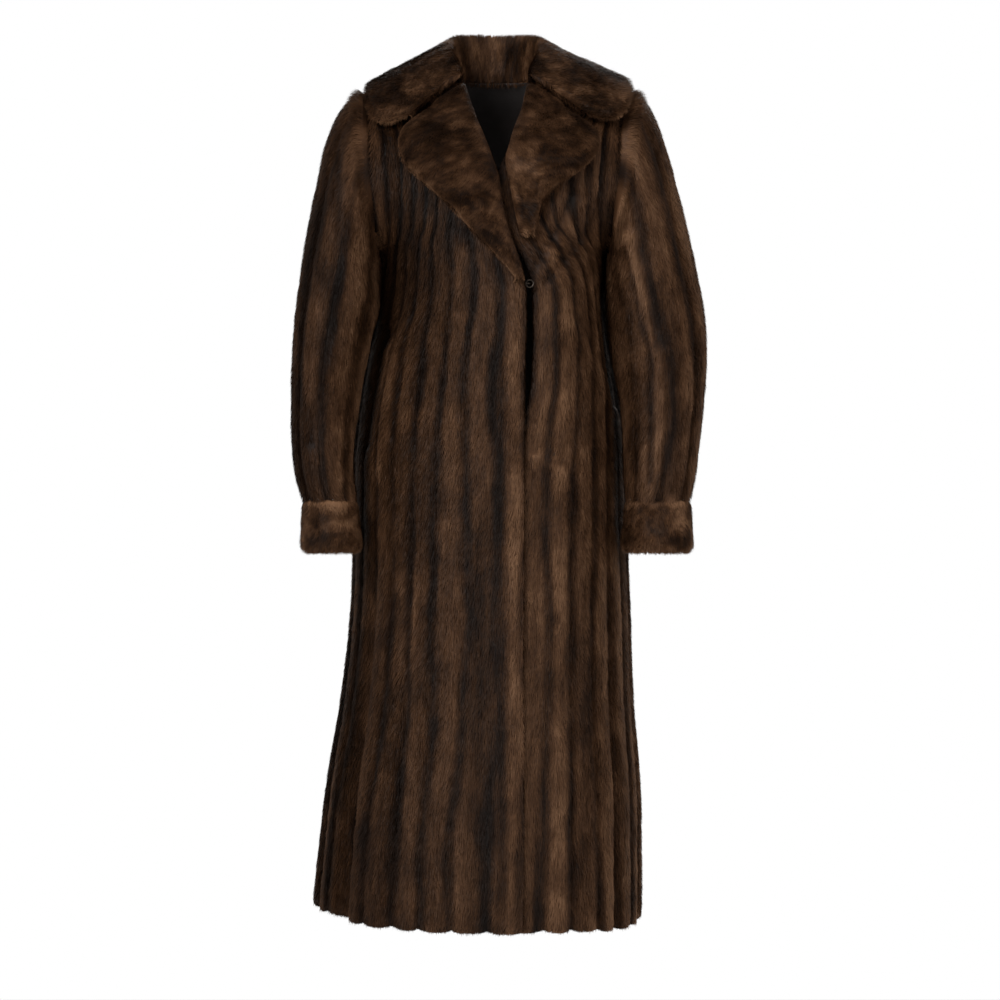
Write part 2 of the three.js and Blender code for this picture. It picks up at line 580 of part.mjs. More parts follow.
// A lapel lies on its front: each point is the front's, moved out.
function lapel(side, table) {
  const rows = 15;
  const columns = 6;
  const surface = (s, v) => frontBase(side, s, v);
  const outer = [];
  const inner = [];
  for (let r = 0; r <= rows; r++) {
    const t = (r / rows) * (table.length - 1);
    const outerRow = [];
    const innerRow = [];
    for (let c = 0; c <= columns; c++) {
      const f = c / columns;
      const x = mix(read(table, "t", t, "rollX"), read(table, "t", t, "edgeX"), f);
      const z = mix(read(table, "t", t, "rollZ"), read(table, "t", t, "edgeZ"), f);
      const { s, v } = placeOnFront(side, x, z);
      const normal = normalAt(surface, s, v, 3, side);
      const edge = Math.min(f, 1 - f, (r / rows) * 2, (1 - r / rows) * 2);
      const full = mix(0.35, 1, Math.sqrt(Math.min(edge * 4, 1)));
      const under = f === 0 ? ROLL_GAP : LAPEL_GAP;
      const point = surface(s, v);
      innerRow.push(point.clone().addScaledVector(normal, under));
      outerRow.push(point.addScaledVector(normal, under + LAPEL_WALL * full));
    }
    outer.push(outerRow);
    inner.push(innerRow);
  }
  return wall(outer, inner, false);
}

// A round wire along a curve, closed at both ends.
function wire(points, radius) {
  const [steps, sides] = [16, 8];
  const path = new THREE.CatmullRomCurve3(points);
  const tube = new THREE.TubeGeometry(path, steps, radius, sides, false);
  const position = [...tube.getAttribute("position").array, ...path.getPoint(0), ...path.getPoint(1)];
  const faces = [...tube.getIndex().array];
  const first = (steps + 1) * (sides + 1);
  const last = steps * (sides + 1);
  for (let i = 0; i < sides; i++) faces.push(first, i, i + 1, first + 1, last + i + 1, last + i);
  return new THREE.BufferGeometry()
    .setAttribute("position", new THREE.Float32BufferAttribute(position, 3))
    .setIndex(faces);
}

const FUR = new THREE.MeshStandardMaterial({ color: 0x4a3526, roughness: 0.75, metalness: 0 });
const METAL = new THREE.MeshStandardMaterial({ color: 0x2b2522, roughness: 0.4, metalness: 0.6 });

const coat = new THREE.Group();
function add(name, geometry, material = FUR) {
  const mesh = new THREE.Mesh(geometry, material);
  mesh.name = name;
  coat.add(mesh);
}

add("front_right", front(-1));
add("front_left", front(1));
add("back", back());
add("sleeve_right", sleeve(-1));
add("sleeve_left", sleeve(1));
add("cuff_right", cuff(-1));
add("cuff_left", cuff(1));
add("collar", collar());
add("lapel_right", lapel(-1, RIGHT_LAPEL));
add("lapel_left", lapel(1, LEFT_LAPEL));

// The fastening: a ring on the left front's edge, and a wire hook through it from behind the right front's
// edge.
const RING = { x: 47, y: -144, z: -303, radius: 5, wire: 1 };
const ring = new THREE.TorusGeometry(RING.radius, RING.wire, 8, 20);
ring.rotateX(Math.PI / 2).translate(RING.x, RING.y, RING.z);
add("hook_ring", facingOut(ring), METAL);
const hookPath = [
  [33, 5],
  [41, 5],
  [46, 3.5],
  [47.3, 0],
  [46, -3.5],
  [43.5, -4.6],
];
const hook = wire(
  hookPath.map(([x, behind]) => vector(x, RING.y + behind, RING.z)),
  RING.wire,
);
add("hook", facingOut(hook), METAL);

export default coat;
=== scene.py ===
"""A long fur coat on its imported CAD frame: shells with their lining, and the pile that lies on them."""

import math
from functools import partial

import bpy
import numpy as np
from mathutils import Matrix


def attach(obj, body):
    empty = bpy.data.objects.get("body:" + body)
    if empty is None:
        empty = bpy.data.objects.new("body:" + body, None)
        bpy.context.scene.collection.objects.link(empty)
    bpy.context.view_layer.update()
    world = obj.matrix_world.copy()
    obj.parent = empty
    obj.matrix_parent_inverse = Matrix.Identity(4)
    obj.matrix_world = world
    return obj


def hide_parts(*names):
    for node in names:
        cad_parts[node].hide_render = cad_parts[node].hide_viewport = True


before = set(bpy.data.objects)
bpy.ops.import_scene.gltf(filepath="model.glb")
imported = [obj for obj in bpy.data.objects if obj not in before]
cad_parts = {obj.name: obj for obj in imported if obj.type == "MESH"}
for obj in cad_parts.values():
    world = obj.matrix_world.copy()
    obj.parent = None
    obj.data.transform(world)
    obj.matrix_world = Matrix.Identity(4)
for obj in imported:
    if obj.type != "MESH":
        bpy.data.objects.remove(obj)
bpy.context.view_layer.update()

# The surfaces follow the CAD part. They are worked out in millimetres and made in metres.
MM = 0.001
HEM = -1170  # the hem's height
ARMPIT = -247  # the height of the armhole's lowest point
WALL = 8  # the body's and sleeves' wall, with its laid pile
CUFF_WALL = 12
CUFF_BULGE = 3  # how far a cuff's band stands out in the middle
CUFF_ROUND = 4  # how far its pile turns in at its lower edge
LAPEL_WALL = 13
ROLL_GAP = 2.8  # between a lapel's roll line and the front under it
LAPEL_GAP = 4.1  # between the rest of the lapel and the front
STAND_WALL = 9  # the collar inside the neck
FALL_WALL = 15  # the collar where it falls over the shoulders
STRIP_RISE = 2  # how far a pelt strip stands up between its seams
SEAM = 0.3  # half the gap between pieces that are sewn together
HEM_RISE = 8  # how far the hem is raised over the wearer's right side
HEM_DROP = 10  # how far it hangs down over the left side
RIGHT_STRIPS = 9
LEFT_STRIPS = 7
BACK_STRIPS = 16
SLEEVE_STRIPS = 8
GATHER = 1.2  # how much more a sleeve's strips stand up where they are gathered above the cuff
HANDLE = 0.39  # a section curve's handles, as a share of the distance between its ends
TUCK_DEEP, TUCK_FROM, TUCK_TO = 12, 100, 50  # where the left front passes under the right one
NECK_POINT = (69, 5, 4)  # where the shoulder seam meets the neck
SHOULDER = (178, 12, -43)  # where it meets the sleeve
COLLAR_LEFT = 1.05  # the wearer's left half of the collar is spread this much wider
COLLAR_TUCK = 9  # how far its stand reaches down inside the neck
RISE_RIGHT, RISE_LEFT, RISE_FROM, RISE_TO = 2, 9, 90, 170  # how much higher its ends lie, from x to x
GRID_END = 0.003  # how far a front's grid starts from its edge, as a share of its width
LAST_RING = 12  # the sleeve's last ring, at the cuff
CUFF_END = 5  # the cuff's last ring

# The pile
PILE = 2.5  # how far the skin lies below the pile's surface
VALLEY = 2.6  # how much deeper the skin lies between two strips
TOUCH = 3.2  # how much higher it lies where a sleeve and the body touch
CAP = 12  # how much higher it lies where the shoulder meets the sleeve
SCALLOP = 5  # how far a strip's middle hangs below its seams at the hem
SEAM_SLANT = 0.8  # how far the pile leans over a seam
SIDE_PAINTED_LIGHT = 0.28  # how much lighter painted light makes the body's pile beside a sleeve, where it lies in shade, and the sleeve's by a fifth of it
PUFF = 5  # how much thicker the collar's and lapels' pile is towards their edges
COLLAR_ROUNDED, LAPEL_ROUNDED = 15, 18  # how far in from those edges the surface is rounded
COLLAR_REACH = 7.94  # the station that its grid reaches, just short of the notch
FREE = ["high", "left", "right"]  # their grids' borders that aren't sewn along their whole length
SEWN_SHARE = 0.62  # the share of their width from which the collar's and lapels' sides are free edges
HALVINGS = 18  # how often the search for a place on a front halves its range
HAIR_LONG = 10
HAIR_WIDE = 1.2  # at its root
SKIRT_ROWS, CHEST_ROWS, SHOULDER_ROWS = 100, 27, 14  # the rows of a body panel's grid
CREASED_COLUMNS, PLAIN_COLUMNS = 8, 6  # the columns of its grid for each strip, with drawn folds and without
SLEEVE_ROWS, SLEEVE_COLUMNS = 80, 8  # a sleeve's rows, and its columns for each strip
CUFF_ROWS, CUFF_COLUMNS = 20, 64
COLLAR_ROWS, COLLAR_COLUMNS = 28, 97
LAPEL_COLUMNS, LAPEL_ROWS = 24, 48
RIM_PAINTED_HIGHLIGHT, RIM_FROM, RIM_TO = 0.24, 3, 17  # how much lighter plush pieces are at their edges with a painted highlight, and how far in
BORDER_SPACING = 0.3  # between the hairs that stand out of an edge
HEM_SPACING = 0.1  # between those at the hem
HEM_SHARE = 0.55  # the share of their length that the hairs have there
BAKE_SIZE = 1024  # pixels across the picture that the hairs' map is laid out for

# The folds seen from the front: how high each stands, how much lighter it is, its half width, and its line
# in x and z. The lightness is painted light: painted highlights along the ridges, painted shade in the
# furrows. A furrow has both values below zero.
CREASES = {
    "front_right": (
        (-6, -0.22, 17, (-143, -95), (-137, -214), (-139, -309), (-151, -357)),
        (-5, -0.06, 10, (-151, -357), (-166, -432), (-181, -513)),
        (4, 0.12, 10, (-122, -357), (-145, -439), (-159, -554)),
        (-3, -0.12, 5, (-111, -173), (-113, -260), (-116, -336)),
        # Painted shadow along the right lapel's lower edge, and a patch of painted shade under its tip.
        (0, -0.14, 9, (-135, -130), (-110, -168), (-62, -208), (-26, -245), (4, -285)),
        (0, -0.1, 22, (-40, -318), (-5, -330)),
        (-3, -0.16, 5, (8, -330), (9, -560), (8, -760), (10, -1175)),
        (-4, -0.1, 13, (-133, -728), (-136, -900), (-133, -1175)),
        (2, 0.07, 9, (-109, -728), (-108, -1175)),
        (2, 0.06, 12, (-53, -700), (-55, -1175)),
        (-5, -0.2, 13, (-20, -640), (-23, -900), (-21, -1175)),
        (-1.5, -0.14, 3, (-78, -671), (-40, -683), (2, -701)),
    ),
    "front_left": (
        (-5, -0.2, 5, (53, -282), (84, -221), (109, -174)),
        (-5, -0.18, 6, (68, -296), (125, -228), (146, -170), (155, -100)),
        (4, 0.1, 6, (59, -285), (106, -216), (133, -165), (143, -119)),
        (-5, -0.24, 8, (157, -187), (154, -323), (159, -391), (169, -459)),
        (3, 0.12, 7, (98, -350), (143, -418), (165, -470)),
        (2, 0.1, 12, (82, -640), (84, -900), (82, -1175)),
        (-4, -0.16, 10, (121, -640), (125, -900), (123, -1175)),
        (1, 0.06, 12, (166, -640), (168, -1175)),
        (-2, -0.1, 7, (54, -640), (53, -1175)),
        (3, 0.16, 5, (50, -536), (70, -541), (92, -557)),
    ),
    "sleeve_right": (
        (-6, -0.16, 8, (-212, -116), (-215, -211), (-220, -307), (-237, -417), (-251, -513)),
        (5, 0.16, 9, (-196, -170), (-187, -239), (-179, -321), (-186, -390), (-199, -458), (-211, -560)),
        (-3, -0.14, 4, (-200, -480), (-204, -568)),
    ),
    "sleeve_left": (
        (7, 0.26, 8, (190, -232), (210, -348), (226, -403), (227, -499), (223, -581)),
        (-6, -0.3, 4.5, (180, -246), (199, -335), (213, -390), (214, -567)),
        (-5, -0.24, 9, (245, -307), (249, -430), (248, -513), (243, -581)),
        (0, 0.1, 9, (277, -389), (276, -554)),
        (3, 0.1, 7, (184, -130), (170, -210)),
    ),
}


def table(columns, *rows):
    """Columns of numbers by name. The first one is the key."""
    return {name: np.array([row[i] for row in rows], float) for i, name in enumerate(columns.split())}


# The side seams and the middle of the back, by height.
SIDES = table(
    "z right left seam back",
    (HEM, -258, 208, 32, 210),
    (-1100, -252, 208, 33, 205),
    (-987, -239, 206, 36, 195),
    (-875, -220, 197, 40, 183),
    (-763, -207, 193, 45, 172),
    (-680, -203, 190, 50, 163),
    (-600, -203, 187, 55, 154),
    (-520, -202, 184, 60, 143),
    (-450, -196, 179, 64, 133),
    (-380, -187, 171, 66, 126),
    (-310, -173, 164, 60, 122),
    (-275, -168, 163, 40, 122),
    (ARMPIT, -164, 160, 12, 122),
)
# The fronts' edges, and above the fastening the line where each turns back as a lapel.
EDGES = table(
    "z y right left",
    (HEM, -214, 39, 16),
    (-987, -201, 39, 18),
    (-763, -181, 39, 22),
    (-600, -167, 40, 28),
    (-500, -157, 40, 38),
    (-430, -151, 40, 50),
    (-303, -149, 41, 50),
    (-264, -147, 32, 36),
    (-233, -144, 20, 20),
    (-196, -138, 11, 8),
    (-145, -127, 3, 7),
    (-119, -116, -7, 17),
    (-90, -100, -18, 26),
    (-60, -80, -30, 37),
    (-29, -58, -39, 43),
    (4, -30, -49, 51),
)
# From v = 1 at the armpit to 2 at the shoulder's end and 3 at the neck: the heights of a front's edge and of
# the back, and the way a section leaves the edge (ex, ey, ez) and the armhole or shoulder (sx, sy, sz).
RISE = table(
    "v z backZ backY ex ey ez sx sy sz",
    (0.7, -524, -524, 143, 1, 0, 0, 0.04, 1, 0),
    (0.8, -432, -432, 131, 1, 0, 0, 0.16, 0.98, 0),
    (0.9, -339, -339, 122, 1, 0, 0, 0.25, 0.97, 0),
    (1, ARMPIT, -247, 122, 1, 0, 0, 0.25, 0.97, 0),
    (1.25, -205, -205, 124, 1, 0, 0, 0.6, 0.8, 0),
    (1.5, -160, -155, 124, 1, 0.05, 0, 0.8, 0.6, 0),
    (1.75, -122, -105, 119, 1, 0.1, 0.1, 0.72, 0.68, 0.12),
    (2, -85, -62, 110, 0.94, 0.15, 0.3, 0.52, 0.84, 0.16),
    (2.5, -40, -26, 92, 0.86, 0.25, 0.36, 0.4, 0.9, 0.16),
    (3, 4, 2, 66, 0.8, 0.4, 0.1, 0.4, 0.9, 0.1),
)
# Rings down each sleeve: its outer and inner sides, how far it reaches from y, and how far it sags there.
SLEEVE = table(
    "t rightOut leftOut outZ rightIn leftIn inZ y front back sag",
    (0, 178, 178, -43, 164, 160, -247, 12, 94, 88, -10),
    (1, 196, 203, -30, 170, 166, -254, 10, 99, 95, 0),
    (2, 218, 220, -53, 170, 166, -265, 7, 100, 93, 6),
    (3, 236, 237, -96, 169, 164, -282, 3, 96, 88, 8),
    (4, 248, 252, -149, 167, 160.5, -303, -2, 90, 82, 8),
    (5, 260, 267, -210, 166, 158.5, -330, -9, 83, 76, 7),
    (6, 270, 281, -275, 175, 160.5, -364, -17, 77, 70, 6),
    (7, 278, 292, -340, 184, 166, -403, -25, 72, 66, 5),
    (8, 281.5, 294, -400, 191, 174.5, -446, -34, 69, 62, 4),
    (9, 281.5, 289, -460, 197, 179.5, -490, -42, 66, 59, 3),
    (10, 279, 281.5, -515, 201, 181, -531, -50, 62, 55, 2),
    (11, 273, 275, -560, 200, 183, -566, -57, 54, 47, 1),
    (12, 264, 268, -594, 194, 184, -594, -64, 44, 38, 0),
)
# Rings down each cuff: its middle, and its half widths across and front to back.
CUFF = table(
    "t z right left rightWide leftWide y rightDeep leftDeep",
    (0, -594.4, -227, 224, 35, 42, -66, 42, 40),
    (1, -600, -227, 224, 38, 45, -66, 45, 43),
    (2, -625, -226, 224, 38.5, 46, -68, 46, 44),
    (3, -650, -225, 223, 40.5, 48, -70, 48, 46),
    (4, -660, -225, 223, 40, 47.5, -70, 47, 45),
    (5, -665, -225, 223, 36.5, 44, -70, 43, 41),
)
# A lapel from the collar's seam to the fastening: where it turns back, and its outer edge.
RIGHT_LAPEL = table(
    "t rollX rollZ edgeX edgeZ",
    (0, -40, -23, -116, -85),
    (1, -33, -48, -127, -95),
    (2, -25, -75, -132, -112),
    (3, -14, -101, -124, -137),
    (4, -4, -128, -104, -157),
    (5, 5, -158, -81, -178),
    (6, 11, -190, -55, -202),
    (7, 17, -222, -30, -230),
    (8, 27, -252, -3, -258),
    (9, 35, -278, 18, -282),
    (10, 40, -297, 30, -299),
)
LEFT_LAPEL = table(
    "t rollX rollZ edgeX edgeZ",
    (0, 44, -23, 126, -87),
    (1, 38, -50, 140, -98),
    (2, 30, -78, 143, -115),
    (3, 21, -104, 130, -134),
    (4, 14, -132, 110, -151),
    (5, 19, -162, 86, -167),
    (6, 24, -190, 68, -189),
    (7, 29, -216, 58, -213),
    (8, 35, -240, 48, -238),
)
# The skirt's deep folds: place across the panel, half width, depth at the hem, and the top's height.
RIGHT_FOLDS = table(
    "s half deep top",
    (0.14, 0.03, 6, -330),
    (0.43, 0.04, 5, -620),
    (0.69, 0.05, 22, -450),
    (0.88, 0.04, 7, -560),
)
LEFT_FOLDS = table(
    "s half deep top",
    (0.29, 0.04, 5, -520),
    (0.57, 0.04, 7, -430),
    (0.86, 0.05, 8, -460),
)
BACK_FOLDS = table(
    "s half deep top",
    (0.07, 0.025, 8, -520),
    (0.215, 0.03, 12, -480),
    (0.36, 0.025, 7, -600),
    (0.5, 0.03, 12, -420),
    (0.64, 0.025, 6, -620),
    (0.786, 0.03, 12, -500),
    (0.93, 0.025, 8, -560),
)
# The collar's stations from the middle of the back to the notch, on one side.
COLLAR = table(
    "t seam crest mid edge",
    (0, (0, 57, 7), (0, 82, 68), (0, 126, 13), (0, 138, -62)),
    (1, (17, 55, 7), (28, 76, 68), (50, 122, 12), (66, 134, -62)),
    (2, (33, 46, 7), (48, 58, 65), (88, 94, 14), (128, 108, -56)),
    (3, (48, 26, 8), (57, 30, 57), (106, 48, 24), (172, 62, -36)),
    (4, (56, 6, 10), (58, 4, 45), (114, 6, 20), (190, 2, -24)),
    (5, (54, -8, 12), (56, -16, 33), (116, -36, 4), (186, -52, -45)),
    (6, (50, -21, 15), (54, -37, 21), (112, -62, -16), (170, -92, -73)),
    (7, (45, -38, 9), (50, -54, 8), (100, -78, -28), (146, -107, -77)),
    (8, (41, -54, -8), (46, -68, -7), (84, -83, -34), (121, -104, -66)),
)


def read(rows, place, column):
    """A column of a table at places along its key, on a smooth curve through the rows."""
    keys, values = next(iter(rows.values())), rows[column]
    last = len(keys) - 1
    before = np.maximum(np.arange(last + 1) - 1, 0)
    after = np.minimum(np.arange(last + 1) + 1, last)
    widths = (keys[after] - keys[before]).reshape((-1,) + (1,) * (values.ndim - 1))
    slopes = (values[after] - values[before]) / widths
    place = np.asarray(place, float)
    i = np.clip(np.searchsorted(keys, place, side="left") - 1, 0, last - 1)
    span = keys[i + 1] - keys[i]
    f = np.clip((place - keys[i]) / span, 0, 1)
    if values.ndim > 1:
        f, span = f[..., None], span[..., None]
    f2, f3 = f * f, f * f * f
    return (
        (2 * f3 - 3 * f2 + 1) * values[i]
        + (f3 - 2 * f2 + f) * span * slopes[i]
        + (3 * f2 - 2 * f3) * values[i + 1]
        + (f3 - f2) * span * slopes[i + 1]
    )


def smooth(x, low, high):
    f = np.clip((np.asarray(x, float) - low) / (high - low), 0, 1)
    return f * f * (3 - 2 * f)


def mix(a, b, f):
    return a + (b - a) * f


def points(x, y, z):
    return np.stack(np.broadcast_arrays(x, y, z), -1).astype(float)


def unit(v):
    return v / np.maximum(np.linalg.norm(v, axis=-1, keepdims=True), 1e-9)


def column(f):
    return np.asarray(f)[..., None]


def name_of(side):
    """A side's name: -1 is the wearer's right, 1 the left."""
    return "right" if side < 0 else "left"


def closed(values):
    """A ring's grid with its first column again at the end."""
    return np.concatenate([values, values[:, :1]], 1)


def noise(across, along, seed):
    """Smooth value noise from -1 to 1 over a plane with cells one unit wide."""
    x, y = np.broadcast_arrays(np.asarray(across, float) + 7.3 * seed, np.asarray(along, float) + 3.1 * seed)
    cx, cy = np.floor(x).astype(np.int64), np.floor(y).astype(np.int64)
    fx, fy = x - cx, y - cy
    fx, fy = fx * fx * (3 - 2 * fx), fy * fy * (3 - 2 * fy)

    def corner(dx, dy):
        h = ((cx + dx) * 374761393 + (cy + dy) * 668265263 + seed * 974634777) & 0xFFFFFFFF
        h = ((h ^ (h >> 13)) * 1274126177) & 0xFFFFFFFF
        return ((h ^ (h >> 16)) & 0xFFFF) / 32767.5 - 1

    low = mix(corner(0, 0), corner(1, 0), fx)
    high = mix(corner(0, 1), corner(1, 1), fx)
    return mix(low, high, fy)


def ring_point(ring, turn):
    """A point of the ring through four points. Turn 0 is the outer one, and a quarter turn the front."""
    outer, inner, front, back = ring
    middle, across = (outer + inner) / 2, (outer - inner) / 2
    along, shift = (front - back) / 2, (front + back) / 2 - (outer + inner) / 2
    sine = column(np.sin(turn))
    return middle + across * column(np.cos(turn)) + along * sine + shift * sine**2


def sleeve_ring(side, t):
    """The outer, inner, front and back points of the sleeve's ring at t."""
    name = name_of(side)
    out_x = side * read(SLEEVE, t, name + "Out")
    in_x = side * read(SLEEVE, t, name + "In")
    out_z, in_z, y = (read(SLEEVE, t, c) for c in ("outZ", "inZ", "y"))
    z = (out_z + in_z) / 2 - read(SLEEVE, t, "sag")
    front, back = y - read(SLEEVE, t, "front"), y + read(SLEEVE, t, "back")
    middle = (out_x + in_x) / 2
    return points(out_x, y, out_z), points(in_x, y, in_z), points(middle, front, z), points(middle, back, z)


def armhole_normal(side, turn):
    """The way out of the armhole's ring, along which both pieces sewn there have their walls' edges."""
    ring = sleeve_ring(side, np.zeros_like(turn))
    way = ring_point(ring, turn) - (ring[0] + ring[1]) / 2
    way[..., 0] = 0.1 * side * np.maximum(np.cos(turn), 0) * np.linalg.norm(way, axis=-1)
    return unit(way)


def seam_at(side, face, v):
    """Where a front (face -1) or the back (face 1) is sewn on its outer side, and the wall's way there."""
    v = np.asarray(v, float)
    z = mix(HEM, ARMPIT, np.minimum(v, 1))
    sideways = points(side + 0 * v, 0, 0)
    name = name_of(side)
    low = points(read(SIDES, z, name), read(SIDES, z, "seam") + face * SEAM, z)
    turn = math.pi * (2 - np.clip(v, 1, 2))
    middle = ring_point(sleeve_ring(side, 0 * v), -face * turn) + np.array([-side * SEAM, face * SEAM, 0])
    round_armhole = unit(mix(armhole_normal(side, -face * turn), sideways, column(1 - smooth(v, 1, 1.15))))
    f = np.clip(v - 2, 0, 1)
    x, y, z = (mix(a, b, f) for a, b in zip(SHOULDER, NECK_POINT))
    high = points(side * (x - SEAM), y + face * SEAM, z)
    up = unit(points(side * mix(0.1, 0.35, f), 0, 1))
    below, above = column(v <= 1), column(v <= 2)
    point = np.where(below, low, np.where(above, middle, high))
    return point, np.where(below, sideways, np.where(above, round_armhole, up))


def curve_point(a, handle_a, handle_b, b, s):
    """A point of a Bezier curve from a to b."""
    s = column(s)
    r = 1 - s
    return a * r**3 + handle_a * 3 * r * r * s + handle_b * 3 * r * s * s + b * s**3


def distance(a, b):
    return column(np.linalg.norm(a - b, axis=-1))


def way_at(v, end):
    """The way that a section leaves its edge (end e) or its armhole or shoulder (end s)."""
    return unit(points(*(read(RISE, np.maximum(v, 0.7), end + axis) for axis in "xyz")))


def front_base(side, s, v):
    """A front's smooth surface: s runs from its edge to the side seam, v from the hem to the neck."""
    name = name_of(side)
    z = np.where(v <= 1, mix(HEM, ARMPIT, v), read(RISE, v, "z"))
    edge = points(read(EDGES, z, name), read(EDGES, z, "y"), z)
    seam = seam_at(side, -1, v)[0]
    reach = HANDLE * distance(edge, seam)
    out, back = way_at(v, "e") * [side, 1, 1], way_at(v, "s") * [-side, -1, -1]
    point = curve_point(edge, edge + out * reach, seam + back * reach, seam, s)
    if side > 0:
        point[..., 1] += (
            TUCK_DEEP * (1 - smooth(point[..., 0], TUCK_TO, TUCK_FROM)) * (1 - smooth(v, 1.5, 1.85))
        )
    return point


def back_base(s, v):
    """The back's smooth surface: s runs from the wearer's right side seam to the left one."""
    side = np.where(s < 0.5, -1, 1)
    low = v <= 1
    z = np.where(low, mix(HEM, ARMPIT, v), read(RISE, v, "backZ"))
    y = np.where(low, read(SIDES, z, "back"), read(RISE, v, "backY"))
    centre = (read(SIDES, z, "right") + read(SIDES, z, "left")) / 2
    middle = points(np.where(low, centre, mix(-2, 0, smooth(v, 1, 2))), y, z)
    seam = np.where(column(side < 0), seam_at(-1, 1, v)[0], seam_at(1, 1, v)[0])
    reach = HANDLE * distance(middle, seam)
    out, back = points(side, 0, 0), way_at(v, "s") * points(-side, 1, -1)
    return curve_point(middle, middle + out * reach, seam + back * reach, seam, np.abs(2 * s - 1))


def fold_depth(folds, s, z):
    """How deep the skirt's folds are at a place across the panel and a height."""
    total = 0
    for at, half, deep, top in zip(folds["s"], folds["half"], folds["deep"], folds["top"]):
        total = total + deep * np.exp(-(((s - at) / half) ** 2)) * (1 - smooth(z, HEM, top))
    return total


def drawn(place, creases):
    """How high the folds stand at places, in millimetres, and how much lighter they are: painted highlights
    on the ridges and painted shade in the furrows.
    """
    flat, height, light = place[..., [0, 2]], 0, 0
    for high, lighter, half, *line in creases:
        away = np.inf
        for a, b in zip(np.array(line[:-1], float), np.array(line[1:], float)):
            share = np.clip(((flat - a) * (b - a)).sum(-1) / ((b - a) ** 2).sum(), 0, 1)
            away = np.minimum(away, np.linalg.norm(flat - a - column(share) * (b - a), axis=-1))
        near = np.exp(-((away / half) ** 2))
        height, light = height + high * near, light + lighter * near
    return height, light


def strip_height(share):
    """A strip's height at a share of the way across it, flat-topped."""
    return 1 - np.abs(2 * (share % 1) - 1) ** 3


def edges_of(grid, sides, inset=0):
    """The border rows and columns of a grid by their names, or the ones further in."""
    far = -1 - inset
    lines = {"low": grid[inset], "high": grid[far], "left": grid[:, inset], "right": grid[:, far]}
    return [lines[side] for side in sides]


def edge_distance(skin, sides):
    """How far each point of a grid lies from the named borders. Of the left and right ones only the outer
    part is free: further in, the collar and a lapel are sewn together."""
    sewn = int(SEWN_SHARE * len(skin))
    lines = zip(sides, edges_of(skin, sides))
    line = np.concatenate([line[sewn:] if side in ("left", "right") else line for side, line in lines])
    return np.linalg.norm(skin[:, :, None] - line, axis=-1).min(-1)


def pillow(away, reach):
    """A rounded edge's height from 0 at the edge to 1 at reach."""
    return np.sqrt(1 - (1 - np.clip(away / reach, 0, 1)) ** 2)


def surface_normal(surface, s, v, turned, steps=(0.004, 0.004), s_ends=(0, 1), v_ends=(0, 3)):
    """A surface's normal, from a short step each way along s and v that stays between their ends."""
    across = surface(np.minimum(s + steps[0], s_ends[1]), v) - surface(np.maximum(s - steps[0], s_ends[0]), v)
    up = surface(s, np.minimum(v + steps[1], v_ends[1])) - surface(s, np.maximum(v - steps[1], v_ends[0]))
    return unit(np.cross(across, up) * turned)


def panel_skin(surface, strips, folds, turned, face, seams, raised, inset, creases=()):
    """The grids of a front or the back: rows from the hem to the neck, columns across."""
    skirt = np.linspace(0.005, 1, SKIRT_ROWS)
    v = np.concatenate([skirt, np.linspace(1, 2, CHEST_ROWS)[1:], np.linspace(2, 3, SHOULDER_ROWS)[1:]])
    s = np.linspace(inset, 1, strips * (CREASED_COLUMNS if creases else PLAIN_COLUMNS) + 1)
    v, s = np.meshgrid(v, s, indexing="ij")
    base, normal = surface(s, v), surface_normal(surface, s, v, turned)
    height, sewn, slant = strip_height(s * strips), 0 * s, 0 * s
    for end, side in seams:
        near = smooth(1 - np.abs(s - end), 0.85, 1)
        slant = slant + (2 * end - 1) * SEAM_SLANT * smooth(1 - np.abs(s - end), 0.94, 1)
        normal = mix(normal, seam_at(side, face, v)[1], column(near))
        sewn = np.maximum(sewn, near)
    normal = unit(normal)
    # light holds painted light: the folds' highlights and shade, and a lift of the shade where a sleeve
    # touches.
    crease, light = drawn(base, creases)
    base = base + normal * column(crease - fold_depth(folds, s, base[..., 2]))
    touching = sewn * smooth(base[..., 2], -650, -580) * (1 - smooth(v, 1.05, 1.3))
    capped = sewn * smooth(v, 1.6, 1.95) * (1 - smooth(v, 2.1, 2.7))
    base[..., 2] += raised(s) * (1 - smooth(v, 0, 0.09)) - SCALLOP * height * (1 - smooth(v, 0, 0.02))
    sunk = PILE + (VALLEY * (1 - height) - STRIP_RISE * height) * (1 - sewn)
    sunk = sunk - TOUCH * touching - CAP * capped
    return dict(
        skin=base - normal * column(sunk), normal=normal, wall=WALL - sunk, strip=s * strips, down=-1,
        light=light + SIDE_PAINTED_LIGHT * touching, slant=column(slant),
    )


def front_skin(side):
    folds = RIGHT_FOLDS if side < 0 else LEFT_FOLDS
    strips = RIGHT_STRIPS if side < 0 else LEFT_STRIPS
    raised = lambda s: HEM_RISE * smooth(s, 0.5, 0.85) if side < 0 else -HEM_DROP * smooth(s, 0.2, 0.7)
    surface, creases = partial(front_base, side), CREASES["front_" + name_of(side)]
    return panel_skin(surface, strips, folds, side, -1, [(1, side)], raised, GRID_END, creases)


def back_skin():
    raised = lambda s: HEM_RISE * (1 - smooth(s, 0.1, 0.3)) - HEM_DROP * smooth(s, 0.75, 1)
    return panel_skin(back_base, BACK_STRIPS, BACK_FOLDS, -1, 1, [(0, -1), (1, 1)], raised, 0)


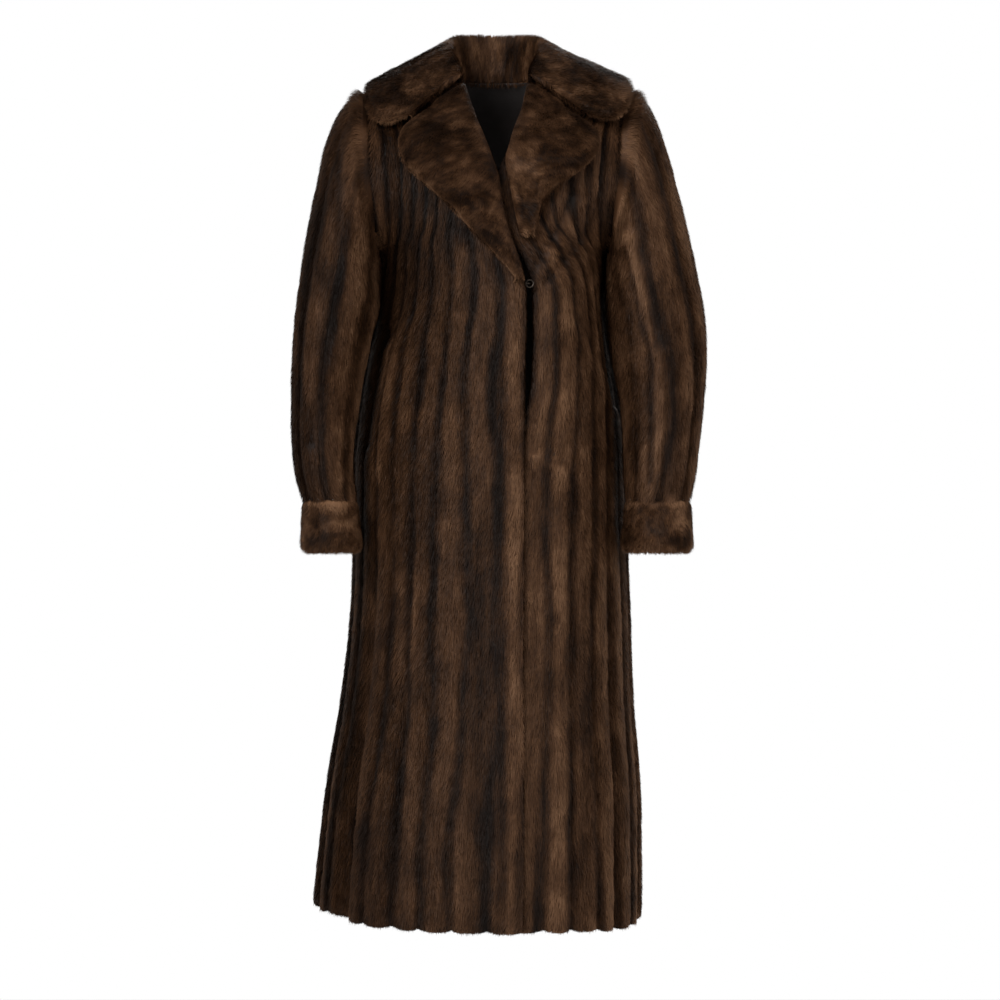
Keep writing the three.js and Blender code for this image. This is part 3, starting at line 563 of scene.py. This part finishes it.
def sleeve_skin(side):
    columns = SLEEVE_STRIPS * SLEEVE_COLUMNS

    def surface(f, t):
        point = ring_point(sleeve_ring(side, t), f * 2 * math.pi)
        point[..., 0] += side * SEAM * (1 - smooth(t, 0, 1))
        return point

    down = np.linspace(0, LAST_RING, SLEEVE_ROWS)
    t, f = np.meshgrid(down, np.arange(columns) / columns, indexing="ij")
    turn = f * 2 * math.pi
    normal = surface_normal(surface, f, t, side, (0.004, 0.02), (-1, 2), (0, LAST_RING))
    normal = unit(mix(armhole_normal(side, turn), normal, column(smooth(t, 0, 1))))
    flat = unit(normal * [1, 1, 0])
    ending = smooth(t, LAST_RING - 1, LAST_RING)
    normal = unit(mix(normal, flat, column(ending)))
    gathered = 1 + GATHER * smooth(t, 8, 11) * (1 - ending)
    height = strip_height(f * SLEEVE_STRIPS) * gathered * smooth(t, 0, 2)
    up = np.cos(turn)
    inner = smooth(-up, 0.1, 0.8) * smooth(t, -0.7, 0.3)
    valley = np.maximum(1 - height, 0) * smooth(t, 0, 2) * (1 - inner)
    capped = smooth(up, 0.2, 0.9) * (1 - smooth(t, 0.5, 1.3))
    touching = inner * (3.2 - 2.1 * smooth(t, 2, 5))
    sunk = PILE + VALLEY * valley - STRIP_RISE * height - TOUCH * touching - CAP * capped
    # light holds the folds' painted highlights and shade on the forward side, and painted light on the inner
    # side.
    crease, light = drawn(surface(f, t), CREASES["sleeve_" + name_of(side)])
    facing = smooth(np.sin(turn), 0, 0.3)
    return dict(
        skin=surface(f, t) + normal * column(crease * facing - sunk), normal=normal, wall=WALL - sunk,
        strip=f * SLEEVE_STRIPS, ring=True, light=light * facing + SIDE_PAINTED_LIGHT * inner * 0.2,
    )


def cuff_skin(side):
    name = name_of(side)
    across = np.arange(CUFF_COLUMNS) / CUFF_COLUMNS
    t, f = np.meshgrid(np.linspace(0, CUFF_END, CUFF_ROWS), across, indexing="ij")
    turn = f * 2 * math.pi
    bulge = CUFF_BULGE * np.sin(t / CUFF_END * math.pi) - CUFF_ROUND * (1 - pillow(CUFF_END - t, 1.6))
    wide, deep = (read(CUFF, t, name + c) + bulge for c in ("Wide", "Deep"))
    centre = points(read(CUFF, t, name), read(CUFF, t, "y"), read(CUFF, t, "z"))
    out = points(np.cos(turn), -np.sin(turn), 0)
    skin = centre + out * points(wide - PILE, deep - PILE, 0)
    normal = unit(out * points(deep, wide, 0) + 1e-6)
    inner = read(CUFF, np.array(2.0), name + "Wide") - CUFF_WALL + PILE
    return dict(skin=skin, normal=normal, wall=wide - PILE - inner + 0 * f, strip=f * 3, ring=True)


def collar_line(t, f):
    """A point of the collar's section: the centripetal curve through its four points, at f."""
    side = np.where(t < 0, -1.0, 1.0)
    scale = points(side * np.where(side < 0, 1, COLLAR_LEFT), 1, 1)
    p = [read(COLLAR, np.abs(t), c) for c in ("seam", "crest", "mid", "edge")]
    most = np.where(side < 0, RISE_RIGHT, RISE_LEFT)
    p = [q * scale + points(0, 0, most * smooth(q[..., 0], RISE_FROM, RISE_TO)) for q in p]
    p = [2 * p[0] - p[1]] + p + [2 * p[3] - p[2]]
    place = 3 * np.clip(f, 0, 1)
    span = np.minimum(np.floor(place).astype(int), 2)
    w = column(place - span)
    pick = lambda k: np.choose(column(span), [p[k], p[k + 1], p[k + 2]])
    x0, x1, x2, x3 = (pick(k) for k in range(4))
    d0, d1, d2 = np.sqrt(distance(x0, x1)), np.sqrt(distance(x1, x2)), np.sqrt(distance(x2, x3))
    t1 = ((x1 - x0) / d0 - (x2 - x0) / (d0 + d1) + (x2 - x1) / d1) * d1
    t2 = ((x2 - x1) / d1 - (x3 - x1) / (d1 + d2) + (x3 - x2) / d2) * d1
    return x1 + t1 * w + (3 * (x2 - x1) - 2 * t1 - t2) * w**2 + (2 * (x1 - x2) + t1 + t2) * w**3


def collar_skin():
    stations = np.linspace(-COLLAR_REACH, COLLAR_REACH, COLLAR_COLUMNS)
    f, t = np.meshgrid(np.linspace(0, 0.97, COLLAR_ROWS), stations, indexing="ij")
    normal = surface_normal(collar_line, t, f, 1, (0.05, 0.01), (-8, 8), (0, 1))
    full = mix(STAND_WALL, FALL_WALL, smooth(f, 0.2, 0.6))
    line = collar_line(t, f)
    rounded = pillow(edge_distance(line, FREE), COLLAR_ROUNDED)
    puffed = PUFF * rounded * smooth(f, 0.3, 0.75)
    sunk = full * (1 - rounded) / 2 + PILE * rounded - puffed
    wall = np.maximum(full * (1 + rounded) / 2 - sunk - 1, 2)
    skin = line - normal * column(sunk)
    skin[0] += [0, 0, -COLLAR_TUCK]
    return dict(skin=skin, normal=normal, wall=wall, strip=t * 1.2)


def search(low, high, short):
    """The value between low and high up to which short holds, by halving the range."""
    for _ in range(HALVINGS):
        middle = (low + high) / 2
        less = short(middle)
        low, high = np.where(less, middle, low), np.where(less, high, middle)
    return (low + high) / 2


def place_on_front(side, x, z):
    """The places (s, v) on a front where its surface has these x and z."""
    start = np.zeros(x.shape)
    across = lambda v: search(start, start + 1, lambda s: side * (front_base(side, s, v)[..., 0] - x) < 0)
    v = search(start + 0.8, start + 3, lambda v: front_base(side, across(v), v)[..., 2] < z)
    return across(v), v


def lapel_skin(side):
    rows_of = RIGHT_LAPEL if side < 0 else LEFT_LAPEL
    out, down = np.linspace(0, 0.955, LAPEL_COLUMNS), np.linspace(0.008, 0.985, LAPEL_ROWS)
    f, share = np.meshgrid(out, down, indexing="ij")
    t = share * rows_of["t"][-1]
    x, z = (mix(read(rows_of, t, "roll" + c), read(rows_of, t, "edge" + c), f) for c in "XZ")
    s, v = place_on_front(side, x, z)
    normal, line = surface_normal(partial(front_base, side), s, v, side), front_base(side, s, v)
    rounded = pillow(edge_distance(line, FREE), LAPEL_ROUNDED) * pillow(f, 0.25)
    under = mix(ROLL_GAP, LAPEL_GAP, smooth(f, 0, 1 / 6))
    wall = np.maximum(LAPEL_WALL * mix(0.35, 1, rounded) - PILE, 1.5) + PUFF * rounded * smooth(f, 0.3, 0.8)
    skin = line + normal * column(under + wall)
    return dict(skin=skin, normal=normal, wall=wall, strip=share * 5)


def placed(name, data):
    """A new object in the scene."""
    piece = bpy.data.objects.new(name, data)
    bpy.context.scene.collection.objects.link(piece)
    return piece


def mesh_object(name, corners, faces, materials, slots=None, uv=None):
    """A mesh from points in millimetres and faces with the same number of corners."""
    mesh = bpy.data.meshes.new(name)
    count, sides = faces.shape
    mesh.vertices.add(len(corners))
    mesh.vertices.foreach_set("co", (corners * MM).astype(np.float32).ravel())
    mesh.loops.add(count * sides)
    mesh.loops.foreach_set("vertex_index", faces.astype(np.int32).ravel())
    mesh.polygons.add(count)
    mesh.polygons.foreach_set("loop_start", np.arange(0, count * sides, sides, dtype=np.int32))
    for material in materials:
        mesh.materials.append(material)
    if slots is not None:
        mesh.polygons.foreach_set("material_index", slots.astype(np.int32))
    mesh.uv_layers.new(name="OFBake").uv.foreach_set("vector", uv.astype(np.float32).ravel())
    mesh.update(calc_edges=True)
    return placed(name, mesh)


def attribute(piece, name, values):
    layer = piece.data.attributes.new(name, "FLOAT", "POINT")
    layer.data.foreach_set("value", values.astype(np.float32).ravel())


def lengths(skin):
    """How far each row lies along the piece, and each column across it, in millimetres."""
    down = np.linalg.norm(np.diff(skin, axis=0), axis=-1).mean(1)
    over = np.linalg.norm(np.diff(skin, axis=1), axis=-1).mean(0)
    return np.concatenate([[0], np.cumsum(down)]), np.concatenate([[0], np.cumsum(over)])


def shell(node, grid, materials):
    """The closed wall of a piece, from its skin under the pile to its lining."""
    skin, normal = grid["skin"], grid["normal"]
    rows, columns = skin.shape[:2]
    inner = skin - normal * column(grid["wall"])
    corners = np.concatenate([skin.reshape(-1, 3), inner.reshape(-1, 3)])
    index = np.arange(rows * columns).reshape(rows, columns)
    # The outer face lies in the left half of the map and the inner one in the right half.
    uv_r, uv_c = np.meshgrid(np.linspace(0.02, 0.98, rows), np.linspace(0.02, 0.46, columns), indexing="ij")
    uv_out = np.stack([uv_c, uv_r], -1).reshape(-1, 2)
    uv_in = uv_out + [0.5, 0]
    if grid["ring"]:
        index = closed(index)
    a, b, c, d = (x.ravel() for x in (index[:-1, :-1], index[:-1, 1:], index[1:, 1:], index[1:, :-1]))
    outer = np.stack([a, b, c, d], 1)
    total = rows * columns
    inside = np.stack([a, d, c, b], 1) + total
    sides = [index[0], index[-1][::-1]] + ([] if grid["ring"] else [index[::-1, 0], index[:, -1]])
    rims = np.concatenate([np.stack([e[1:], e[:-1], e[:-1] + total, e[1:] + total], 1) for e in sides])
    faces = np.concatenate([outer, inside, rims])
    one, two, three = (corners[faces[:, k]] for k in range(3))
    volume = (one * np.cross(two, three)).sum()
    rim_uv = uv_out[rims % total] + np.where(rims >= total, 0.012, 0)[..., None]
    uv = np.concatenate([uv_out[outer], uv_in[inside - total], rim_uv])
    if volume < 0:
        faces, uv = faces[:, ::-1], uv[:, ::-1]
    slots = np.concatenate([np.zeros(len(outer)), np.ones(len(inside)), np.zeros(len(rims))])
    piece = mesh_object(node + "_shell", corners, faces, materials, slots, uv)
    piece.data.polygons.foreach_set("use_smooth", slots < 2)
    down, over = lengths(skin)
    colour = colour_of(grid, grid["strip"], over, column(down), grid["light"])
    attribute(piece, "tone", np.tile(colour.ravel(), 2))
    attribute(piece, "tip", np.zeros(2 * total))
    return piece


def mottled(over, along, seed):
    """How light the plush pile of the collar, lapels and cuffs is: soft patches without strips."""
    patches = 0.6 * noise(over / 30, along / 26, seed) + 0.4 * noise(over / 13, along / 11, seed + 1)
    flecks = noise(over / 5, along / 6, seed + 2)
    return 0.54 + 0.42 * patches + 0.14 * flecks


def tone(strip, along, seed):
    """How light the pile is, from 0 to 1: dark lines between strips, the pelts' stripes with painted shade in
    the valleys there, more or less clear, and patches.
    """
    wander = 0.2 * noise(strip * 0.6, along / 160, seed) + 0.08 * noise(strip * 2, along / 55, seed + 1)
    share = (strip + wander) % 1
    bar = smooth(1 - np.abs(2 * share - 1), 0, 0.65) - 0.65
    clear = 0.35 + 0.2 * noise(strip * 0.8, along / 130, seed + 11)
    own = noise(np.floor(strip + wander) * 3.7 + 0.5, along / 300, seed + 2)
    drift = noise(strip * 0.45, along / 190, seed + 10)
    mottle = noise(strip * 1.7, along / 38, seed + 5)
    flecks = noise(strip * 6, along / 15, seed + 3)
    fine = noise(strip * 20, along / 40, seed + 4)
    return 0.48 + clear * bar + 0.1 * own + 0.09 * drift + 0.11 * mottle + 0.09 * flecks + 0.06 * fine


def colour_of(grid, strip, over, along, light):
    base = mottled(over, along, grid["seed"]) if grid["plush"] else tone(strip, along, grid["seed"])
    # light adds the painted highlights and painted shade, with the lighter and darker places of the paint
    # functions.
    return base + light


def nap(grid):
    """The way that the pile lies on a grid."""
    normal = grid["normal"]
    way = unit(np.gradient(grid["skin"], axis=0) * grid["down"])
    way = unit(way + grid["slant"] * unit(np.gradient(grid["skin"], axis=1)))
    return unit(way - normal * column((way * normal).sum(-1)))


def roots(grid, count, rng):
    """Where hairs grow: grid places spread evenly over the skin, as fractional rows and columns."""
    skin = closed(grid["skin"]) if grid["ring"] else grid["skin"]
    a, b = skin[1:, 1:] - skin[:-1, :-1], skin[1:, :-1] - skin[:-1, 1:]
    area = np.linalg.norm(np.cross(a, b), axis=-1) / 2
    number = np.floor(count * area / area.sum() + rng.random(area.shape)).astype(int)
    cell = np.repeat(np.arange(area.size), number.ravel())
    r, c = np.unravel_index(cell, area.shape)
    return r + rng.random(len(cell)), c + rng.random(len(cell))


def sampled(values, r, c, ring):
    """Values of a grid at fractional rows and columns."""
    if ring:
        values = closed(values)
    i, j = np.minimum(r.astype(int), values.shape[0] - 2), np.minimum(c.astype(int), values.shape[1] - 2)
    f, g = r - i, c - j
    if values.ndim == 3:
        f, g = column(f), column(g)
    return mix(mix(values[i, j], values[i, j + 1], g), mix(values[i + 1, j], values[i + 1, j + 1], g), f)


def border_roots(grid, sides, rng):
    """Hairs round free edges: where each grows, which way is out of the edge, and its place on the grid."""
    skin, normal, wall = grid["skin"], grid["normal"], grid["wall"]
    last_row, last_column = skin.shape[0] - 1.0, skin.shape[1] - 1.0
    found = []
    for side, line, within in zip(sides, edges_of(skin, sides), edges_of(skin, sides, 1)):
        spacing = HEM_SPACING if grid["hem"] and side == "low" else BORDER_SPACING
        number = int(np.linalg.norm(np.diff(line, axis=0), axis=-1).sum() / spacing)
        q = rng.random(number) * (len(line) - 1)
        fixed = {"low": 0, "high": last_row, "left": 0, "right": last_column}[side]
        r, c = (np.full(number, fixed), q) if side in ("low", "high") else (q, np.full(number, fixed))
        i = q.astype(int)
        out = unit(mix(line[i], line[i + 1], column(q - i)) - mix(within[i], within[i + 1], column(q - i)))
        found.append((r, c, out))
    r, c, out = (np.concatenate(x) for x in zip(*found))
    normals = sampled(normal, r, c, False)
    depth = rng.random(len(r)) ** 1.3
    place = sampled(skin, r, c, False) - normals * column(depth * sampled(wall, r, c, False))
    return r, c, place, unit(out + normals * column(0.9 - 1.5 * depth)), out


def fur(node, grid, count, material, rng):
    """The pile of a piece: tapered locks that lie along the nap, each a narrow triangle."""
    ring, seed = grid["ring"], grid["seed"]
    r, c = roots(grid, count, rng)
    place, up = sampled(grid["skin"], r, c, ring), unit(sampled(grid["normal"], r, c, ring))
    way, inside = sampled(nap(grid), r, c, ring), len(r)
    if grid["borders"]:
        br, bc, at, raised, out = border_roots(grid, grid["borders"], rng)
        along_border = sampled(nap(grid), br, bc, ring)
        r, c = np.concatenate([r, br]), np.concatenate([c, bc])
        place, up = np.concatenate([place, at]), np.concatenate([up, raised])
        inward = np.minimum((along_border * out).sum(-1), 0)
        way = np.concatenate([way, unit(along_border - out * column(inward) + 0.6 * out)])
    way = unit(way - up * column((way * up).sum(-1)))
    side = np.cross(way, up)
    down_mm, over_mm = lengths(grid["skin"])
    along = np.interp(r, np.arange(len(down_mm)), down_mm)
    over = np.interp(c, np.arange(len(over_mm)), over_mm)
    strip = c / grid["columns"] if ring else sampled(grid["strip"], r, c, False)
    swirl = 0.12 * noise(over / 60, along / 90, seed + 6) + 0.12 * noise(over / 16, along / 30, seed + 7)
    turn = swirl * grid["wild"] + 0.1 * noise(over / 6, along / 10, seed + 8) + rng.normal(0, 0.06, len(r))
    rise = 0.07 * noise(over / 9, along / 13, seed + 9) * grid["wild"] + rng.normal(0, 0.04, len(r))
    lift = np.clip(grid["lift"] + rise, 0.05, 0.9)
    long = HAIR_LONG * (0.8 + 0.4 * rng.random(len(r))) * grid["long"]
    long[inside:] *= grid["edge_long"]
    if grid["hem"]:
        long *= mix(HEM_SHARE, 1, smooth(along, 0, 2 * HAIR_LONG))
    way = way * column(np.cos(turn)) + side * column(np.sin(turn))
    reach = way * column(np.cos(lift)) + up * column(np.sin(lift))
    across = np.cross(way, up)
    roll = rng.normal(0, 0.22, len(r))
    across = across * column(np.cos(roll)) + up * column(np.sin(roll))
    half = column(HAIR_WIDE * (0.75 + 0.5 * rng.random(len(r))) / 2)
    corners = np.stack([place - across * half, place + across * half, place + reach * column(long)], 1)
    corners = corners.reshape(-1, 3)
    faces = np.arange(len(corners)).reshape(-1, 3)
    rows, columns = grid["skin"].shape[:2]
    u, v = 0.02 + 0.96 * c / columns, 0.02 + 0.96 * r / rows
    px = 1.5 / BAKE_SIZE
    uv = np.stack([np.stack([u - px, v], -1), np.stack([u + px, v], -1), np.stack([u, v + 2 * px], -1)], 1)
    piece = mesh_object(node + "_fur", corners, faces, [material], None, uv.reshape(-1, 2))
    light = sampled(grid["light"], r, c, ring)
    colour = colour_of(grid, strip, over, along, light) + 0.035 * rng.normal(0, 1, len(r))
    attribute(piece, "tone", np.repeat(colour, 3))
    attribute(piece, "tip", np.tile([0.0, 0.0, 1.0], len(r)))
    return piece


# Materials


def srgb(*rgb):
    """A colour given by its 0 to 255 screen values, as the renderer's linear one."""
    share = [x / 255 for x in rgb]
    return tuple(x / 12.92 if x <= 0.04045 else ((x + 0.055) / 1.055) ** 2.4 for x in share) + (1.0,)


class Nodes:
    """Short calls for building a material's nodes."""

    def __init__(self, name):
        self.material = bpy.data.materials.new(name)
        self.material.use_nodes = True
        self.tree = self.material.node_tree
        self.shader = self.tree.nodes["Principled BSDF"]

    def add(self, kind, **values):
        node = self.tree.nodes.new(kind)
        for key, value in values.items():
            setattr(node, key, value)
        return node

    def link(self, a, b):
        self.tree.links.new(a, b)

    def put(self, socket, value):
        """Give a socket its value, or link it where that is another node's output."""
        if hasattr(value, "links"):
            self.link(value, socket)
        else:
            socket.default_value = value

    def set(self, **values):
        for key, value in values.items():
            self.put(self.shader.inputs[key.replace("_", " ")], value)

    def attribute(self, name):
        return self.add("ShaderNodeAttribute", attribute_name=name).outputs["Fac"]

    def math(self, kind, *values):
        node = self.add("ShaderNodeMath", operation=kind)
        for socket, value in zip(node.inputs, values):
            self.put(socket, value)
        return node.outputs[0]

    def ramp(self, factor, *stops):
        node = self.add("ShaderNodeValToRGB")
        elements = node.color_ramp.elements
        while len(elements) < len(stops):
            elements.new(0.5)
        for element, (position, colour) in zip(elements, stops):
            element.position, element.color = position, colour
        self.link(factor, node.inputs["Fac"])
        return node.outputs["Color"]

    def noise(self, scale, detail=3.0, stretch=(1, 1, 1)):
        place = self.add("ShaderNodeTexCoord").outputs["Object"]
        mapping = self.add("ShaderNodeMapping")
        mapping.inputs["Scale"].default_value = stretch
        self.link(place, mapping.inputs["Vector"])
        node = self.add("ShaderNodeTexNoise")
        node.inputs["Scale"].default_value = scale
        node.inputs["Detail"].default_value = detail
        self.link(mapping.outputs[0], node.inputs["Vector"])
        return node.outputs["Fac"]

    def mixed(self, factor, a, b, kind="MIX"):
        node = self.add("ShaderNodeMix", data_type="RGBA", blend_type=kind)
        for i, value in ((0, factor), (6, a), (7, b)):
            self.put(node.inputs[i], value)
        return node.outputs[2]

    def bump(self, height, strength, distance):
        node = self.add("ShaderNodeBump")
        node.inputs["Strength"].default_value = strength
        node.inputs["Distance"].default_value = distance
        self.link(height, node.inputs["Height"])
        self.link(node.outputs[0], self.shader.inputs["Normal"])


def fur_material(name, dark):
    """Brown pile: the tone attribute picks the colour, and noise tints patches of it cooler or redder, a
    painted sheen.
    """
    n = Nodes(name)
    # Hairs are lighter towards their tips, their own colour with a painted sheen.
    value = n.math("MULTIPLY_ADD", n.attribute("tip"), 0.12, dark)
    value = n.math("ADD", n.attribute("tone"), value)
    colour = n.ramp(
        value,
        (0.0, srgb(15, 8, 5)),
        (0.3, srgb(33, 20, 12)),
        (0.55, srgb(59, 38, 23)),
        (0.8, srgb(90, 62, 42)),
        (1.0, srgb(124, 91, 66)),
    )
    patches = n.ramp(n.noise(11, 3, (1, 1, 0.4)), (0.45, (0, 0, 0, 1)), (0.72, (1, 1, 1, 1)))
    # Painted sheen: patches mixed towards a greyish brown.
    colour = n.mixed(n.math("MULTIPLY", patches, 0.12), colour, srgb(56, 40, 32))
    n.set(Base_Color=colour, Roughness=0.5, Specular_IOR_Level=0.1)
    n.set(Sheen_Weight=0.03, Sheen_Roughness=0.4, Sheen_Tint=srgb(190, 150, 120))
    n.bump(n.noise(900, 2), 0.2, 0.0004)
    return n.material


def lining_material():
    """Dark satin with a fine weave and soft creases."""
    n = Nodes("lining")
    patches = n.noise(14, 4)
    colour = n.ramp(patches, (0.3, srgb(30, 22, 20)), (0.7, srgb(46, 35, 31)))
    n.set(Base_Color=colour, Roughness=n.math("MULTIPLY_ADD", patches, 0.2, 0.5), Sheen_Weight=0.2)
    fine = n.math("MULTIPLY", n.noise(2500, 1), 0.15)
    n.bump(n.math("ADD", n.noise(60, 2, (1, 1, 0.2)), fine), 0.25, 0.002)
    return n.material


def metal_material():
    """Dark lacquered wire, worn brighter in places."""
    n = Nodes("hook_metal")
    wear = n.noise(700, 5)
    colour = n.ramp(wear, (0.4, srgb(38, 32, 29)), (0.75, srgb(92, 80, 70)))
    n.set(Base_Color=colour, Roughness=n.math("MULTIPLY_ADD", wear, 0.3, 0.2), Metallic=0.8)
    n.bump(n.noise(2500, 3), 0.15, 0.0002)
    return n.material


# The coat's pieces: light and paint say how much lighter a place is, in part with painted highlights and
# painted shade, borders which edges hairs stand out of, rims which edges get a painted highlight, and columns
# how many columns of a ring's grid a strip or tuft has.


def paint_right(p):
    """The right front's edge band is lighter, its side panel darker, and its chest a little darker."""
    x, z = p[..., 0], p[..., 2]
    low = 1 - smooth(z, -700, -600)
    band = smooth(x, 14, 22) * (1 - smooth(z, -300, -260)) * (1 + 0.6 * low)
    side = (1 - smooth(x, -189, -173)) * (1 - smooth(z, -790, -730))
    return 0.16 * band - 0.12 * side - 0.1 * smooth(z, -330, -250)


def paint_left(p):
    low = 1 - smooth(p[..., 2], -700, -600)
    return 0.08 * (1 - smooth(p[..., 2], -330, -250)) + 0.1 * low


def paint_sleeve(p):
    """Sleeves are lighter towards the body, painted light on their inner sides. Outside, the right one is
    darker and the left one lighter with a painted highlight.
    """
    x = p[..., 0]
    return 0.16 * (1 - smooth(np.abs(x), 190, 225)) - 0.1 * smooth(-x, 215, 250) + 0.17 * smooth(x, 215, 250)


def pieces():
    """Each piece's grid with the number of its hairs, and its size laid flat: width, length and area."""
    plush = dict(plush=True, long=0.62, edge_long=1.25, wild=3, lift=0.5)
    collar = dict(plush, borders=["low", *FREE], rims=FREE)
    lapel = dict(plush, borders=FREE, rims=FREE, slant=0.9)
    cuff = dict(plush, rims=["low", "high"], columns=21, light=0.1)
    front = dict(borders=["left", "low", "right"], hem=True)
    sleeve = dict(columns=SLEEVE_COLUMNS, paint=paint_sleeve, borders=["low"])
    back = dict(borders=["low", "left", "right"], hem=True)
    grids = {
        "front_right": dict(front_skin(-1), **front, hairs=125000, paint=paint_right, area=(0.44, 1.18, 0.4)),
        "front_left": dict(front_skin(1), **front, hairs=106000, paint=paint_left, area=(0.37, 1.18, 0.33)),
        "back": dict(back_skin(), **back, hairs=160000, area=(0.6, 1.18, 0.58)),
        "sleeve_right": dict(sleeve_skin(-1), **sleeve, hairs=94000, area=(0.46, 0.6, 0.18)),
        "sleeve_left": dict(sleeve_skin(1), **sleeve, hairs=96000, area=(0.46, 0.6, 0.19)),
        "cuff_right": dict(cuff_skin(-1), **cuff, hairs=14000, area=(0.27, 0.08, 0.017)),
        "cuff_left": dict(cuff_skin(1), **cuff, hairs=15000, area=(0.29, 0.08, 0.018)),
        "collar": dict(collar_skin(), **collar, hairs=62000, area=(0.6, 0.2, 0.098)),
        "lapel_right": dict(lapel_skin(-1), **lapel, hairs=20000, area=(0.12, 0.3, 0.022)),
        "lapel_left": dict(lapel_skin(1), **lapel, hairs=17000, area=(0.11, 0.26, 0.017)),
    }
    defaults = dict(borders=[], rims=[], paint=lambda skin: 0, lift=0.24, long=1.0, edge_long=0.75, wild=1.5)
    defaults.update(plush=False, hem=False, ring=False, down=1, light=0, slant=0)
    for i, (node, grid) in enumerate(grids.items()):
        grid = grids[node] = {**defaults, "seed": 11 * i + 3, **grid}
        grid["light"] = np.zeros(grid["skin"].shape[:2]) + grid["light"] + grid["paint"](grid["skin"])
        # A painted highlight along the edges that rims names.
        if grid["rims"]:
            away = edge_distance(grid["skin"], grid["rims"])
            grid["light"] = grid["light"] + RIM_PAINTED_HIGHLIGHT * (1 - smooth(away, RIM_FROM, RIM_TO))
    return grids


pile, underfur, lining = fur_material("fur", 0.0), fur_material("underfur", -0.12), lining_material()
metal = metal_material()
rng = np.random.default_rng(2)
for node, grid in pieces().items():
    body = shell(node, grid, [underfur, underfur if grid["plush"] else lining])
    hairs = fur(node, grid, grid["hairs"], pile, rng)
    for piece in (body, hairs):
        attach(piece, "root")
    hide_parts(node)
    width, length, area = grid["area"]

for name in ("hook_ring", "hook"):
    for material_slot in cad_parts[name].material_slots:
        material_slot.material = metal


# Floor, light and camera

FLOOR = -1.47  # its height in metres, clear of the hanging coat
mesh = bpy.data.meshes.new("floor")
mesh.from_pydata([(x, y, FLOOR) for x, y in ((-3, -2.5), (3, -2.5), (3, 1), (-3, 1))], [], [(0, 1, 2, 3)])
floor = placed("floor", mesh)
ground = Nodes("floor")
pale = ground.ramp(ground.noise(3, 2), (0.3, (0.8, 0.8, 0.79, 1)), (0.7, (0.84, 0.84, 0.83, 1)))
ground.set(Base_Color=pale, Roughness=0.8)
mesh.materials.append(ground.material)

world = bpy.data.worlds.new("studio")
bpy.context.scene.world = world
world.use_nodes = True
tree = world.node_tree
seen, lit = tree.nodes["Background"], tree.nodes.new("ShaderNodeBackground")
for background, strength, colour in ((seen, 1.0, (1, 1, 1, 1)), (lit, 0.38, (1, 0.97, 0.93, 1))):
    background.inputs["Color"].default_value = colour
    background.inputs["Strength"].default_value = strength
both = tree.nodes.new("ShaderNodeMixShader")
tree.links.new(tree.nodes.new("ShaderNodeLightPath").outputs["Is Camera Ray"], both.inputs[0])
tree.links.new(lit.outputs[0], both.inputs[1])
tree.links.new(seen.outputs[0], both.inputs[2])
tree.links.new(both.outputs[0], tree.nodes["World Output"].inputs[0])


def softbox(name, place, aim, size, power):
    data = bpy.data.lights.new(name, "AREA")
    data.shape, data.size, data.energy = "DISK", size, power
    light = placed(name, data)
    light.location = place
    way = np.array(aim, float) - np.array(place, float)
    flat = math.hypot(way[0], way[1])
    tilt, heading = math.atan2(way[2], flat), math.atan2(way[1], way[0])
    light.rotation_euler = (math.pi / 2 + tilt, 0, heading - math.pi / 2)


softbox("key", (-1.6, -2.6, 1.2), (0, 0, -0.5), 1.4, 60)
softbox("fill", (2.2, -2.4, 0.4), (0, 0, -0.6), 1.6, 25)
softbox("rim", (0.6, 2.4, 1.4), (0, 0, -0.5), 1.4, 18)

camera_data = bpy.data.cameras.new("camera")
camera_data.sensor_width, camera_data.lens = 36, 102.857
camera = placed("camera", camera_data)
camera.location = (0.007, -4.0, -0.595)
camera.rotation_euler = (math.pi / 2, 0, 0)
bpy.context.scene.camera = camera
bpy.context.scene.view_settings.view_transform = "Standard"
